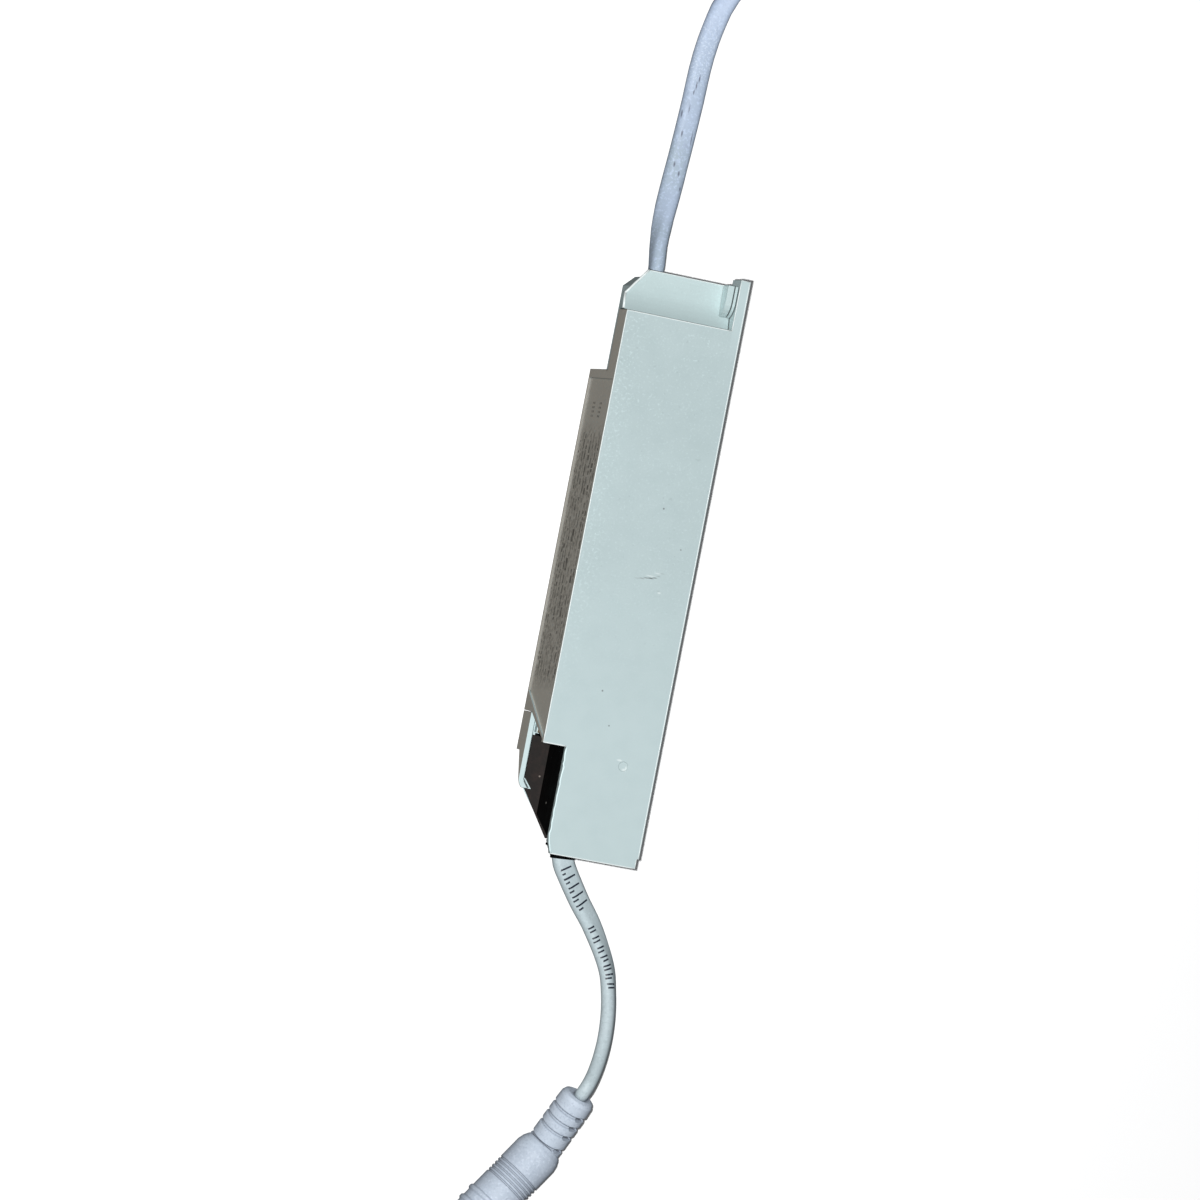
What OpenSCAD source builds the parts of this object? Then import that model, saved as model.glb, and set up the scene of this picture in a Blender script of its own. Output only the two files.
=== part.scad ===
// Slim two-part power supply with a flat mains lead and a flat output lead that ends in a socket.
// X runs across the housing, +Y towards the mains end, +Z up. Z = 0 is the underside.

/* [Housing] */
// Length of the upper shell along Y
body_l = 136.5; // [134:0.5:160]
// Width of the housing
body_w = 27.5; // [26.5:0.5:36]
// Height of the housing
body_h = 22; // [21:0.5:28]
// Thickness of the shell's side walls
shell_wall = 1.6; // [1.2:0.1:1.8]
// Thickness of the shell's top plate
shell_top = 1.6; // [1.2:0.1:2.2]
// Height of the tray's rim at the output end
rim_h = 7; // [6.5:0.5:8.5]
// Thickness of the tray's walls
tray_wall = 1.15; // [1:0.05:1.5]
// Thickness of the tray's floor
tray_floor = 1.4; // [1.2:0.1:1.6]
// Clearance between mating mouldings
fit_gap = 0.2; // [0.1:0.05:0.3]

/* [Output end] */
// Length of the open notch in the top plate
notch_l = 24.6; // [22:0.2:27]
// Width of the open notch in the top plate
notch_w = 5.6; // [4:0.2:6.2]
// How far the slanted end of the side wall runs back from the notch
cut_run = 6.1; // [4:0.1:9]
// How far the corner of the top plate is cut back along the notch
corner_cut = 3.7; // [2:0.1:5]
// Where the tray's side walls stop being upright, from the output end
keel_y = 21.5; // [19:0.5:25]
// How far the tray's lower edge is drawn in under the tapered end
keel_in = 1.8; // [1:0.1:2.2]
// Length of the tapered stretch of the tray
taper_l = 10.6; // [9:0.2:12]
// Width of the tray's nose
nose_w = 9.2; // [9:0.2:12]
// How far the nose stands back from the end of the top plate
nose_back = 0.3; // [0.2:0.1:0.8]

/* [Input end] */
// Length of the stretch that the end cap covers
cap_l = 11.8; // [9:0.1:14]
// Width of the rail beside the end cap
rail_w = 2.3; // [1.6:0.1:3]
// How far the end cap lies below the top face where they meet
cap_drop = 2.8; // [2.5:0.1:3.6]
// How far the end cap's surface falls along its length
cap_fall = 1.9; // [1.5:0.1:2.6]
// How far the end cap stops short of the rail's end
cap_back = 1.7; // [0.5:0.1:2]
// Height of the end cap's fins above the cap's lower edge
fin_h = 6.4; // [4:0.1:6.8]
// Length of the narrow stretch of the tray, from the mains end
waist_l = 25.9; // [24:0.1:28]
// How far the narrow stretch stands in from the housing's side
waist_in = 3.8; // [3.4:0.1:4.2]
// How far the narrow stretch's rim lies below the top face
waist_drop = 7; // [6.8:0.1:8]

/* [Label field] */
// Depth of the recessed field on the left side
field_d = 0.5; // [0.3:0.1:0.7]
// Width of the plain border round the field
field_edge = 2; // [1:0.1:3]

/* [Circuit] */
// Thickness of the circuit board
board_t = 1.6; // [1:0.2:2]
// Height of the board's underside above the housing's underside
board_z = 3.6; // [3.4:0.1:4]
// Thickness of the insulating film round the circuit
film_t = 0.5; // [0.3:0.1:0.6]
// Diameter of the main smoothing capacitor
bulk_d = 10; // [8:0.5:12]
// Length of the main smoothing capacitor
bulk_l = 16; // [12:1:20]
// Diameter of each output capacitor
out_cap_d = 5; // [4:0.1:6.3]
// Height of each output capacitor
out_cap_h = 11; // [9:0.5:13]
// Length of the transformer core along the housing
core_l = 13; // [12:0.5:14]
// Height of the transformer core
core_h = 12; // [10:0.5:13]
// Length of the mains choke along the housing
choke_l = 10.4; // [9.4:0.2:13]
// Thickness of the mains filter capacitor along the housing
x_cap_t = 5; // [4:0.5:7]
// Height of the mains filter capacitor
x_cap_h = 12; // [10:0.5:13]
// Height of the heat sink
sink_h = 12; // [10:0.5:13]

/* [Leads] */
// Width of a flat lead
cord_w = 5.2; // [4.6:0.1:5.4]
// Thickness of a flat lead
cord_t = 3.2; // [2.6:0.1:3.4]
// Diameter of the outer turn of the stored length
coil_d = 56.4; // [54:0.2:62]
// Diameter of an insulated core
core_d = 1.9; // [1.6:0.1:2.1]
// Diameter of a core's bare strands
strand_d = 0.9; // [0.8:0.05:1.1]
// Length of a core's bare strands
strand_l = 7; // [5:0.5:9]

/* [Connector] */
// Diameter of the connector's body
plug_d = 11.2; // [10.4:0.2:11.2]
// Length of the connector's body without its strain relief
plug_l = 25; // [23:1:30]
// Length of the ribbed strain relief
boot_l = 16; // [12:0.2:18]
// Diameter of the strain relief's tip
boot_d = 8.2; // [7:0.1:8.4]
// How steeply the strain relief bends up from the body
boot_rise = 22; // [0:1:30]
// Bore of the socket's contact sleeve
socket_d = 5.6; // [5.5:0.05:5.7]
// Depth of the socket
socket_l = 9.5; // [8:0.5:11]
// Diameter of the centre pin
pin_d = 2.1; // [1.9:0.1:2.5]

/* [Hidden] */

// Colours as the object shows them
pale = [0.76, 0.83, 0.85];
cap_pale = [0.83, 0.89, 0.9];
film_black = [0.04, 0.04, 0.045];
fibre_brown = [0.21, 0.17, 0.16];
board_tan = [0.55, 0.42, 0.24];
copper = [0.78, 0.46, 0.26];
steel = [0.7, 0.71, 0.72];
ferrite = [0.2, 0.2, 0.21];
lead_grey = [0.74, 0.8, 0.85];

// Small values that several pieces share
seat = 0.05;
eps = 0.01;
past = 1;

// Distances from each end and from the left side of the housing
function from_output(d) = -body_l / 2 + d;
function from_input(d) = body_l / 2 - d;
function from_left(d) = -body_w / 2 + d;

// Upper shell
half_w = body_w / 2;
under_top = body_h - shell_top;
cap_y = from_input(cap_l);
waist_y = from_input(waist_l);
waist_h = body_h - waist_drop;
waist_top = waist_h + fit_gap / 2;
notch_y = from_output(notch_l);
shoulder_y = notch_y + cut_run;
soffit_t = 1.2;
corner_w = 1;
side_step_l = 2.3;
side_step_in = 0.5;
gate_mark = [5.9, 22.5];
gate_mark_d = 2.2;
gate_mark_deep = 0.12;

// Tray
inner_half = half_w - shell_wall - fit_gap;
waist_half = half_w - waist_in;
nose_y = from_output(nose_back);
nose_l = 2;
taper_y0 = nose_y + nose_l;
taper_y = taper_y0 + taper_l;
corner_in = 1.3;
corner_l = 2;
open_back = 0.3;
open_w = tray_wall + keel_in + 2 * past;
keel_lip = 0.5;
keel_h = rim_h - keel_lip;
keel_end_h = 2.6;
keel_end = from_output(keel_y);
wide_end = shoulder_y - fit_gap;
middle_end = waist_y - shell_wall - fit_gap;
ledge_w = 1.4;
skirt_t = 1.2;
cap_end = from_input(cap_back);
waist_end = cap_end - skirt_t - fit_gap;
waist_corner = 2.5;

// Insulating film and sheet
film_half = inner_half - tray_wall - fit_gap;
film_left = from_left(notch_w + 1.5);
film_top = under_top - fit_gap / 2;
film_split = notch_y + 0.8;
film_front = from_output(1.3);
film_foot_y = from_output(7.6);
sheet_t = 0.5;
sheet_top = tray_floor + sheet_t;

// Circuit board and the space on it
board_top = board_z + board_t;
board_y0 = film_split + film_t + fit_gap;
board_y1 = middle_end - tray_wall - fit_gap;
board_half = inner_half - tray_wall - fit_gap;
space_half = film_half - film_t;
part_gap = 0.5;
pad_l = 3.2;

// Rows of parts on the board: the output side counts up from the output end
out_row = board_y0 + pad_l + out_cap_d / 2;
core_row = out_row + out_cap_d / 2 + part_gap + core_l / 2;
bulk_row = core_row + core_l / 2 + part_gap + bulk_l / 2;

// The mains side counts down from the mains end
fuse_d = 3.6;
fuse_row = board_y1 - pad_l - fuse_d / 2;
x_cap_row = fuse_row - fuse_d / 2 - part_gap - x_cap_t / 2;
choke_row = x_cap_row - x_cap_t / 2 - part_gap - choke_l / 2;
bridge_size = [5, 4, 2.6];
bridge_row = choke_row - choke_l / 2 - part_gap - bridge_size[1] / 2;

// Leads
sleeve_t = 0.35;
sleeve_gap = 0.05;
sleeve_out = 1;
passage_gap = 0.2;
cord_sides = 12;
out_x = 0.8;
out_z = 4;
in_x = from_left(8.65);
in_z = 8;

// Grips that hold the leads
grip_l = 5;
grip_t = 2;
screw_d = 1.6;
screw_head_d = 2.8;
screw_head_h = 1.3;
boss_d = 2.8;
grip_gap = 0.1;
out_grip_y = from_output(14);
out_grip_span = cord_w + boss_d + 2 * grip_gap;
out_boss_top = out_z + cord_t / 2 + seat;
in_grip_y = from_input(13.5);
in_grip_w = 6;
in_boss_top = in_z - cord_w / 2 - 1;
in_grip_top = in_z + cord_w / 2;

// Connector: where the tip of its strain relief is, and the headings of the relief and the body
bead_h = 0.4;
plug_z = plug_d / 2 + bead_h;
plug_at = [13.5, from_output(-53.75), plug_z + boot_l * sin(boot_rise)];
plug_heading = 235.2;
boot_heading = 251.3;
boot_ahead = [
    cos(boot_heading) * cos(boot_rise),
    sin(boot_heading) * cos(boot_rise),
    -sin(boot_rise)
];
plug_base = plug_at + boot_l * boot_ahead;
lead_off = 0.4 * [-sin(boot_heading), cos(boot_heading), 0];
contact_t = 0.3;
insert_l = 4;
plug_rings = [8, 9, 10, 11, 12];
plug_beads = [17.4, 20.5];

// Route of the output lead from its grip to the connector: x, distance past the housing's end, z,
// and the roll of its wide side
OUT_ROUTE = concat(
    [
        for (p = [
            [out_x, -18.15, out_z, 0],
            [out_x, -7.75, out_z, 0],
            [out_x, 1.15, out_z, 0],
            [1.2, 2.5, 3.95, 3],
            [3, 4.9, 3.8, 8],
            [7.2, 10.3, 3.2, 20],
            [10.8, 14.9, 2.8, 35],
            [14.4, 20.4, 2.8, 50],
            [16.8, 25.1, 3, 60],
            [17.85, 29.6, 3.8, 65],
            [18.35, 34.6, 5.4, 65],
            [18.2, 40, 7.2, 65],
            [17.3, 45, 9.3, 65],
            [15.95, 49, 11.4, 65]
        ])
            [[p[0], from_output(-p[1]), p[2]], p[3]]
    ],
    [
        [plug_at + lead_off - 2.4 * boot_ahead, 65],
        [plug_at + lead_off - 2 * seat * boot_ahead, 65]
    ]
);

// Route of the mains lead from its grip to the winding, in the same way
IN_ROUTE = [
    for (p = [
        [in_x, -17.15, in_z, 90],
        [in_x, -7.75, in_z, 90],
        [in_x, -0.15, in_z, 90],
        [in_x - 0.2, 4.15, 7, 82],
        [in_x + 0.4, 11.35, 4.3, 50],
        [-3.6, 20.25, 2.2, 12],
        [-2.9, 29.25, 1.7, 0],
        [-2.4, 39.25, 1.7, 0],
        [-2.2, 46.5, 1.7, 0],
        [-1.5, 53.5, 1.7, 0],
        [0.1, 61.3, 1.85, 10],
        [1.5, 64.85, 2.1, 25]
    ])
        [[p[0], from_input(-p[1]), p[2]], p[3]]
];

// Stored winding: its centre, and the radii between which its turns lie
coil_at = [-11.9, from_input(-93.95)];
coil_turns = 1.24;
turn_pitch = cord_t + 0.3;
coil_out = coil_d / 2 + cord_t / 2 + fit_gap;
coil_in = coil_d / 2 - turn_pitch * coil_turns - cord_t / 2 - fit_gap;
coil_h = cord_w + 0.3;
tie_angle = 20;
tie_w = 2.6;
tie_t = 0.8;
tie_head = [4.4, 3.6, 3.2];

// Routes of the mains cores past the end of their sheath, from the winding's centre
CORE_ROUTES = [
    for (route = [
        [[15.3, 14.2, 3.6], [10.8, 16.8, 2.4], [5.4, 17.9, 1.2], [0.2, 17, 1.1], [-4.4, 14.7, 1.1]],
        [[15.7, 13.7, 1.6], [10.6, 15, 1.2], [5.6, 14.6, 1.1], [1.1, 12.6, 1.1], [-2.5, 9.7, 1.1]]
    ])
        [for (p = route) [coil_at[0], coil_at[1], 0] + p]
];

// Repeated forms

// A block whose centre lies at x and y and whose underside lies at z
module block(size, at) {
    translate([at[0] - size[0] / 2, at[1] - size[1] / 2, at[2]]) cube(size);
}

// An outline in Y and Z, as thick as t along X from x
module side_plate(points, x, t) {
    translate([x, 0, 0]) rotate([90, 0, 90]) linear_extrude(t) polygon(points);
}

// A plan outline and its mirror image as one list of points
function both_sides(side) = concat(
    side,
    [for (i = [len(side) - 1 : -1 : 0]) [-side[i][0], side[i][1]]]
);

// A flat-oval outline, w wide and t thick
module oval(w, t) {
    translate([-(w - t) / 2, -t / 2]) square([w - t, t]);
    for (side = [-1, 1]) translate([side * (w - t) / 2, 0]) circle(d = t, $fn = 32);
}

// A flat-oval bar along Y between y0 and y1, its wide side turned by roll
module oval_bar(w, t, x, z, y0, y1, roll) {
    translate([x, y1, z]) rotate([90, 0, 0]) linear_extrude(y1 - y0) rotate(roll) oval(w, t);
}

// A closed solid swept through rings of points
module skin(rings) {
    n = len(rings[0]);
    sides = [
        for (i = [0 : len(rings) - 2])
            for (k = [0 : n - 1])
                let (a = i * n + k)
                let (b = i * n + (k + 1) % n)
                each [[a, b, b + n], [a, b + n, a + n]]
    ];
    first = [for (k = [n - 1 : -1 : 0]) k];
    last = [for (k = [0 : n - 1]) (len(rings) - 1) * n + k];
    polyhedron(points = [for (r = rings) each r], faces = concat([first, last], sides), convexity = 6);
}

// The ring of points round one place of a route
function unit(v) = v / norm(v);
function heading(places, i) = unit(places[min(i + 1, len(places) - 1)] - places[max(i - 1, 0)]);
function ring_at(at, ahead, outline, roll, above) =
    let (across = unit(cross(ahead, above)))
    let (up = cross(across, ahead))
    [for (p = outline)
        at + across * (p[0] * cos(roll) - p[1] * sin(roll)) + up * (p[0] * sin(roll) + p[1] * cos(roll))];

// Outlines of a flat lead and of a round wire
flat_outline = [
    for (k = [0 : cord_sides - 1])
        let (turn = 360 * (k + 0.5) / cord_sides)
        [sign(cos(turn)) * (cord_w - cord_t) / 2 + cord_t / 2 * cos(turn), cord_t / 2 * sin(turn)]
];
function round_outline(d, sides) = [for (k = [0 : sides - 1]) d / 2 * [cos(360 * k / sides), sin(360 * k / sides)]];

// A flat lead along a route of places and rolls
module lead(route) {
    places = [for (p = route) p[0]];
    skin([
        for (i = [0 : len(route) - 1])
            ring_at(places[i], heading(places, i), flat_outline, route[i][1], [0, 0, 1])
    ]);
}

// A round wire through places, with above as a direction that it never runs along
module wire(places, d, above) {
    skin([
        for (i = [0 : len(places) - 1])
            ring_at(places[i], heading(places, i), round_outline(d, 8), 0, above)
    ]);
}

// Upper shell
left_wall = [
    [notch_y, body_h],
    [shoulder_y, rim_h],
    [shoulder_y, 0],
    [waist_y, 0],
    [waist_y, waist_top],
    [cap_y, waist_top],
    [cap_y, body_h]
];
right_wall = [
    [from_output(0), body_h],
    [from_output(0), rim_h + fit_gap],
    [shoulder_y, rim_h + fit_gap],
    [shoulder_y, 0],
    [waist_y, 0],
    [waist_y, waist_top],
    [from_input(0), waist_top],
    [from_input(0), body_h]
];
notch = [
    [-half_w - past, from_output(-past)],
    [-half_w + notch_w + corner_w, from_output(-past)],
    [-half_w + notch_w + corner_w, from_output(0)],
    [-half_w + notch_w, from_output(corner_cut)],
    [-half_w + notch_w, notch_y],
    [-half_w - past, notch_y]
];
label_field = [
    [notch_y + field_edge * 0.45, body_h - field_edge / 2],
    [shoulder_y + field_edge * 2.3, field_edge * 0.3],
    [waist_y - field_edge, field_edge * 0.3],
    [waist_y - field_edge, body_h - field_edge / 2]
];

module upper_shell() {
    step_w = waist_in - fit_gap;
    soffit_w = waist_in + tray_wall;
    color(pale) difference() {
        union() {
            translate([-half_w, from_output(0), under_top])
                cube([body_w, body_l - cap_l, shell_top]);
            side_plate(left_wall, -half_w, shell_wall);
            side_plate(right_wall, half_w - shell_wall, shell_wall);
            translate([half_w - rail_w, cap_y - eps, waist_top])
                cube([rail_w, cap_l + eps, body_h - waist_top]);
            for (side = [-1, 1]) {
                block(
                    [step_w, shell_wall, waist_top + soffit_t],
                    [side * (half_w - step_w / 2), waist_y - shell_wall / 2, 0]
                );
                block(
                    [soffit_w, waist_l - cap_l, soffit_t],
                    [side * (half_w - soffit_w / 2), (waist_y + cap_y) / 2, waist_top]
                );
            }
        }
        translate([0, 0, under_top - past]) linear_extrude(shell_top + 2 * past) polygon(notch);
        side_plate(label_field, -half_w - past, past + field_d);
        translate([half_w - side_step_in, from_output(-past), -past])
            cube([side_step_in + past, side_step_l + past, body_h + 2 * past]);
        translate([gate_mark[0], from_output(gate_mark[1]), body_h - gate_mark_deep])
            cylinder(d = gate_mark_d, h = past, $fn = 48);
    }
}

// Plan outlines of the tray: its tapered end with the nose round the lead, and the rest
end_side = [
    [nose_w / 2, nose_y],
    [nose_w / 2, taper_y0],
    [half_w - corner_in, taper_y],
    [half_w - corner_in * 0.3, taper_y + corner_l * 0.5],
    [half_w, taper_y + corner_l],
    [half_w, keel_end + body_h]
];
rest_side = [
    [half_w, nose_y],
    [half_w, wide_end],
    [inner_half, wide_end],
    [inner_half, middle_end],
    [waist_half, middle_end],
    [waist_half, waist_end - waist_corner],
    [waist_half - waist_corner, waist_end]
];
end_outline = [for (p = both_sides(end_side)) [p[0] + (p[1] < taper_y - eps ? out_x : 0), p[1]]];
function keel_at(z) = keel_in * max(0, 1 - z / keel_h);

// Above the slanted line along which the tray's upright walls begin, from z at the keel's end
module upright(low) {
    run = keel_end - taper_y - corner_l;
    slope = (keel_h - keel_end_h) / run;
    side_plate([
        [nose_y - past, keel_h],
        [taper_y + corner_l, keel_h],
        [keel_end + past, keel_end_h - past * slope],
        [keel_end + past, low],
        [nose_y - past, low]
    ], -body_w, 2 * body_w);
}

module end_plate(inset, z0, z1) {
    translate([0, 0, z0]) linear_extrude(z1 - z0) offset(delta = -inset) polygon(end_outline);
}

module rest_plate(inset, z0, z1) {
    translate([0, 0, z0]) linear_extrude(z1 - z0) offset(delta = -inset) polygon(both_sides(rest_side));
}

module slab(y0, y1) {
    translate([-body_w, y0, -body_h]) cube([2 * body_w, y1 - y0, 3 * body_h]);
}

// The tray's form, drawn in by inset all round, from z0 up to its low rim and its high rim
module tray_form(inset, z0, low, high) {
    hull() {
        intersection() {
            end_plate(inset + keel_at(z0), z0, z0 + eps);
            slab(nose_y, keel_end);
        }
        intersection() {
            end_plate(inset, 0, low);
            upright(low);
            slab(nose_y, keel_end);
        }
    }
    intersection() {
        rest_plate(inset, z0, low);
        slab(keel_end - eps, waist_end);
    }
    intersection() {
        rest_plate(inset, z0, high);
        slab(middle_end - tray_wall, waist_end);
    }
}

module base_tray() {
    color(cap_pale) difference() {
        union() {
            difference() {
                tray_form(0, 0, rim_h, waist_h);
                tray_form(tray_wall, tray_floor, body_h, body_h);
            }
            board_ledges();
            grip_seats();
        }
        grip_holes();
        output_slot();
        input_slot();
        open_side();
    }
}

// The stretch of the left side wall that belonged to the missing cover
nose_left = out_x - nose_w / 2;
nose_trim = 0.35;
module open_side() {
    translate([0, 0, tray_floor]) linear_extrude(body_h) polygon([
        [-half_w - past, taper_y + open_back],
        [-half_w + open_w, taper_y + open_back],
        [nose_left + open_w, taper_y0],
        [nose_left + nose_trim, taper_y0],
        [nose_left + nose_trim, nose_y - past],
        [-half_w - past, nose_y - past]
    ]);
}

// The strip of the sheet that reaches the tray's edge along the open stretch
module open_strip() {
    run = [nose_left + half_w - corner_in, taper_y - nose_y];
    inset = (keel_at(tray_floor) + fit_gap / 2) * norm(run) / run[1];
    function edge_x(y) = nose_left - run[0] * (y - nose_y) / run[1] + inset;
    y0 = taper_y0 + fit_gap;
    y1 = taper_y + open_back - fit_gap;
    translate([0, 0, tray_floor]) linear_extrude(sheet_t) polygon([
        [edge_x(y0), y0],
        [edge_x(y0) + open_w - past, y0],
        [edge_x(y1) + open_w - past, y1],
        [edge_x(y1), y1]
    ]);
}

// Ledges along the tray's sides that carry the circuit board
module board_ledges() {
    for (side = [-1, 1])
        block(
            [ledge_w + eps, board_y1 - board_y0, board_z - tray_floor + eps],
            [side * (inner_half - tray_wall - ledge_w / 2 + eps), (board_y0 + board_y1) / 2, tray_floor - eps]
        );
}

// Bosses and a stop that the two cord grips stand on and press against
module grip_seats() {
    for (side = [-1, 1])
        translate([out_x + side * out_grip_span / 2, out_grip_y, tray_floor - eps])
            cylinder(d = boss_d, h = out_boss_top - tray_floor + eps, $fn = 32);
    seat_x = in_x + cord_t / 2 + seat;
    block(
        [in_grip_w, grip_l, in_boss_top - tray_floor + eps],
        [seat_x + in_grip_w / 2, in_grip_y, tray_floor - eps]
    );
    stop_w = in_x - cord_t / 2 - seat + waist_half - tray_wall;
    block(
        [stop_w + eps, grip_l, in_grip_top - tray_floor + eps],
        [-waist_half + tray_wall + (stop_w - eps) / 2, in_grip_y, tray_floor - eps]
    );
}

module grip_holes() {
    for (side = [-1, 1])
        translate([out_x + side * out_grip_span / 2, out_grip_y, sheet_top])
            cylinder(d = screw_d + 0.1, h = body_h, $fn = 24);
    translate([in_x + cord_t / 2 + seat + in_grip_w / 2, in_grip_y, sheet_top])
        cylinder(d = screw_d + 0.1, h = body_h, $fn = 24);
}

// Slots in the end walls for the leads, open above
module output_slot() {
    w = cord_w + 2 * (sleeve_gap + sleeve_t + passage_gap);
    low = out_z - cord_t / 2 - sleeve_gap - sleeve_t - passage_gap;
    block([w, 2 * (nose_l + tray_wall + keel_in), body_h], [out_x, nose_y, low]);
}

module input_slot() {
    block([cord_t + 2 * passage_gap, 2 * (tray_wall + past), body_h],
        [in_x, waist_end, in_z - cord_w / 2 - passage_gap]);
}

// Cover over the mains end: a coved slope with a chamfered corner, a skirt and two fins
cap_top0 = body_h - cap_drop;
cove = [
    for (i = [0 : 8])
        let (t = i / 8)
        [cap_y + fit_gap + t * (cap_end - cap_y - fit_gap), cap_top0 - cap_fall * (1 - pow(1 - t, 2))]
];
cap_profile = concat([[cap_end, waist_top], [cap_y + fit_gap, waist_top]], cove);
cap_hollow = [
    [cap_y + fit_gap + skirt_t, waist_top - past],
    [cap_y + fit_gap + skirt_t, cap_top0 - 1.9],
    [cap_y + cap_l * 0.45, waist_top],
    [cap_y + cap_l * 0.45, waist_top - past]
];
fin_rise = 4;
fin_y = cap_y + 2.5;
fin_profile = concat(
    [[cap_end, waist_top + eps], [fin_y, waist_top + eps], [fin_y, waist_top + 1.4]],
    [for (a = [15 : 15 : 90]) [fin_y + fin_rise * (1 - cos(a)), waist_top + 1.4 + (fin_h - 1.4) * sin(a)]],
    [[cap_end, waist_top + fin_h]]
);
fins = [[0.95, 1.4], [0.05, 0.6]];
cap_corner = [4.9, 6.2];

module input_end_cap() {
    cap_w = body_w - rail_w - fit_gap;
    color(cap_pale) {
        difference() {
            side_plate(cap_profile, -half_w, cap_w);
            side_plate(cap_hollow, -half_w + 3 * skirt_t, cap_w - 6 * skirt_t);
            translate([-half_w, cap_end, 0]) linear_extrude(body_h) polygon([
                [-past, -cap_corner[1] - past * cap_corner[1] / cap_corner[0]],
                [cap_corner[0] + past * cap_corner[0] / cap_corner[1], past],
                [-past, past]
            ]);
        }
        for (fin = fins)
            side_plate(fin_profile, half_w - rail_w - fit_gap - fin[0] - fin[1], fin[1]);
        block([2 * (waist_half - waist_corner), skirt_t, waist_top - in_grip_top - 0.4 + eps],
            [0, cap_end - skirt_t / 2, in_grip_top + 0.4]);
    }
}

// Fibre sheet on the tray's floor, wide in the open end and narrow between the board's ledges
module insulating_sheet() {
    narrow_half = inner_half - tray_wall - ledge_w - fit_gap;
    color(fibre_brown) difference() {
        union() {
            intersection() {
                end_plate(tray_wall + keel_at(tray_floor) + fit_gap, tray_floor, sheet_top);
                slab(nose_y, film_split);
            }
            open_strip();
            block([2 * narrow_half, board_y1 - film_split + eps, sheet_t],
                [0, (film_split + board_y1 - eps) / 2, tray_floor]);
        }
        for (side = [-1, 1])
            translate([out_x + side * out_grip_span / 2, out_grip_y, -past])
                cylinder(d = boss_d + 2 * fit_gap, h = body_h, $fn = 32);
    }
}

// Black film folded round the circuit, open below and at the mains end
function film_plan(t, far) = [
    [film_left + t, film_front + t],
    [film_half - t, film_front + t],
    [film_half - t, far],
    [-film_half + t, far],
    [-film_half + t, film_split + t],
    [film_left + t, film_split + t]
];

// Where a wall at x clears the tray's tapered wall at height z
taper_slope = (half_w - corner_in - nose_w / 2) / taper_l;
function clear_y(x, z) =
    taper_y0 + (abs(x) + fit_gap + (tray_wall + keel_at(z)) * norm([1, taper_slope]) - nose_w / 2) / taper_slope;
function film_foot(x) = [
    [film_front - past, -past],
    [clear_y(x, sheet_top) + 0.5, -past],
    [clear_y(x, sheet_top) + 0.5, sheet_top],
    [clear_y(x, keel_h), keel_h],
    [clear_y(x, keel_h), rim_h + fit_gap],
    [film_front - past, rim_h + fit_gap]
];

// The slanted front edge of the film's left wall
film_slant = [
    [film_front - past, -past],
    [film_foot_y, -past],
    [film_foot_y, sheet_top + seat],
    [film_front + 0.6, film_top - film_t],
    [film_front + 0.6, body_h],
    [film_front - past, body_h]
];

module insulating_liner() {
    low = sheet_top + seat;
    color(film_black) difference() {
        translate([0, 0, low]) linear_extrude(film_top - low) polygon(film_plan(0, board_y1));
        translate([0, 0, -past]) linear_extrude(film_top - film_t + past)
            polygon(film_plan(film_t, board_y1 + past));
        translate([-body_w, film_split + film_t, -past])
            cube([2 * body_w, body_l, board_top + seat + past]);
        side_plate(film_foot(film_half), film_left + film_t, film_half - film_left);
        side_plate(film_slant, film_left - past, past - film_left - nose_w / 2);
    }
}

// Circuit board with an isolating slot under the transformer
module circuit_board() {
    slot_l = core_l - 3;
    color(board_tan) difference() {
        block([2 * board_half, board_y1 - board_y0, board_t], [0, (board_y0 + board_y1) / 2, board_z]);
        block([1.2, slot_l, board_t + 2 * past], [0, core_row, board_z - past]);
        for (side = [-1, 1])
            translate([side * board_half, (board_y0 + board_y1) / 2, board_z - past])
                cylinder(d = 3, h = board_t + 2 * past, $fn = 32);
    }
}

// Rectangle with round corners, centred
module rounded(w, l, r) {
    square([w - 2 * r, l], center = true);
    square([w, l - 2 * r], center = true);
    for (x = [-1, 1])
        for (y = [-1, 1])
            translate([x * (w / 2 - r), y * (l / 2 - r)]) circle(r = r, $fn = 24);
}

module soft_block(size, at, r) {
    translate(at) linear_extrude(size[2]) rounded(size[0], size[1], r);
}

// Straight wire legs down to the board
module legs(places, top) {
    for (p = places)
        translate([p[0], p[1], board_top]) cylinder(d = 0.7, h = top - board_top, $fn = 16);
}

// Round can with a rolled groove near its sealed end, standing on z = 0
module can(d, h) {
    r = d / 2;
    groove = 0.35;
    rotate_extrude($fn = 48) polygon([
        [0, 0],
        [r - 0.4, 0],
        [r, 0.4],
        [r, h * 0.12],
        [r - groove, h * 0.12 + 0.5],
        [r - groove, h * 0.12 + 0.9],
        [r, h * 0.12 + 1.4],
        [r, h - 0.5],
        [r - 0.5, h],
        [0, h]
    ]);
}

// Disc part standing on edge across the board
module disc_part(d, t, at) {
    translate([at[0], at[1] + t / 2, board_top + past + d / 2]) rotate([90, 0, 0])
        rotate_extrude($fn = 48) polygon([[0, 0], [d / 2 - 0.7, 0], [d / 2, t * 0.35], [d / 2, t * 0.65], [d / 2 - 0.7, t], [0, t]]);
    legs([for (side = [-1, 1]) [at[0] + side * d * 0.3, at[1]]], board_top + past + d * 0.3);
}

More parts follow.
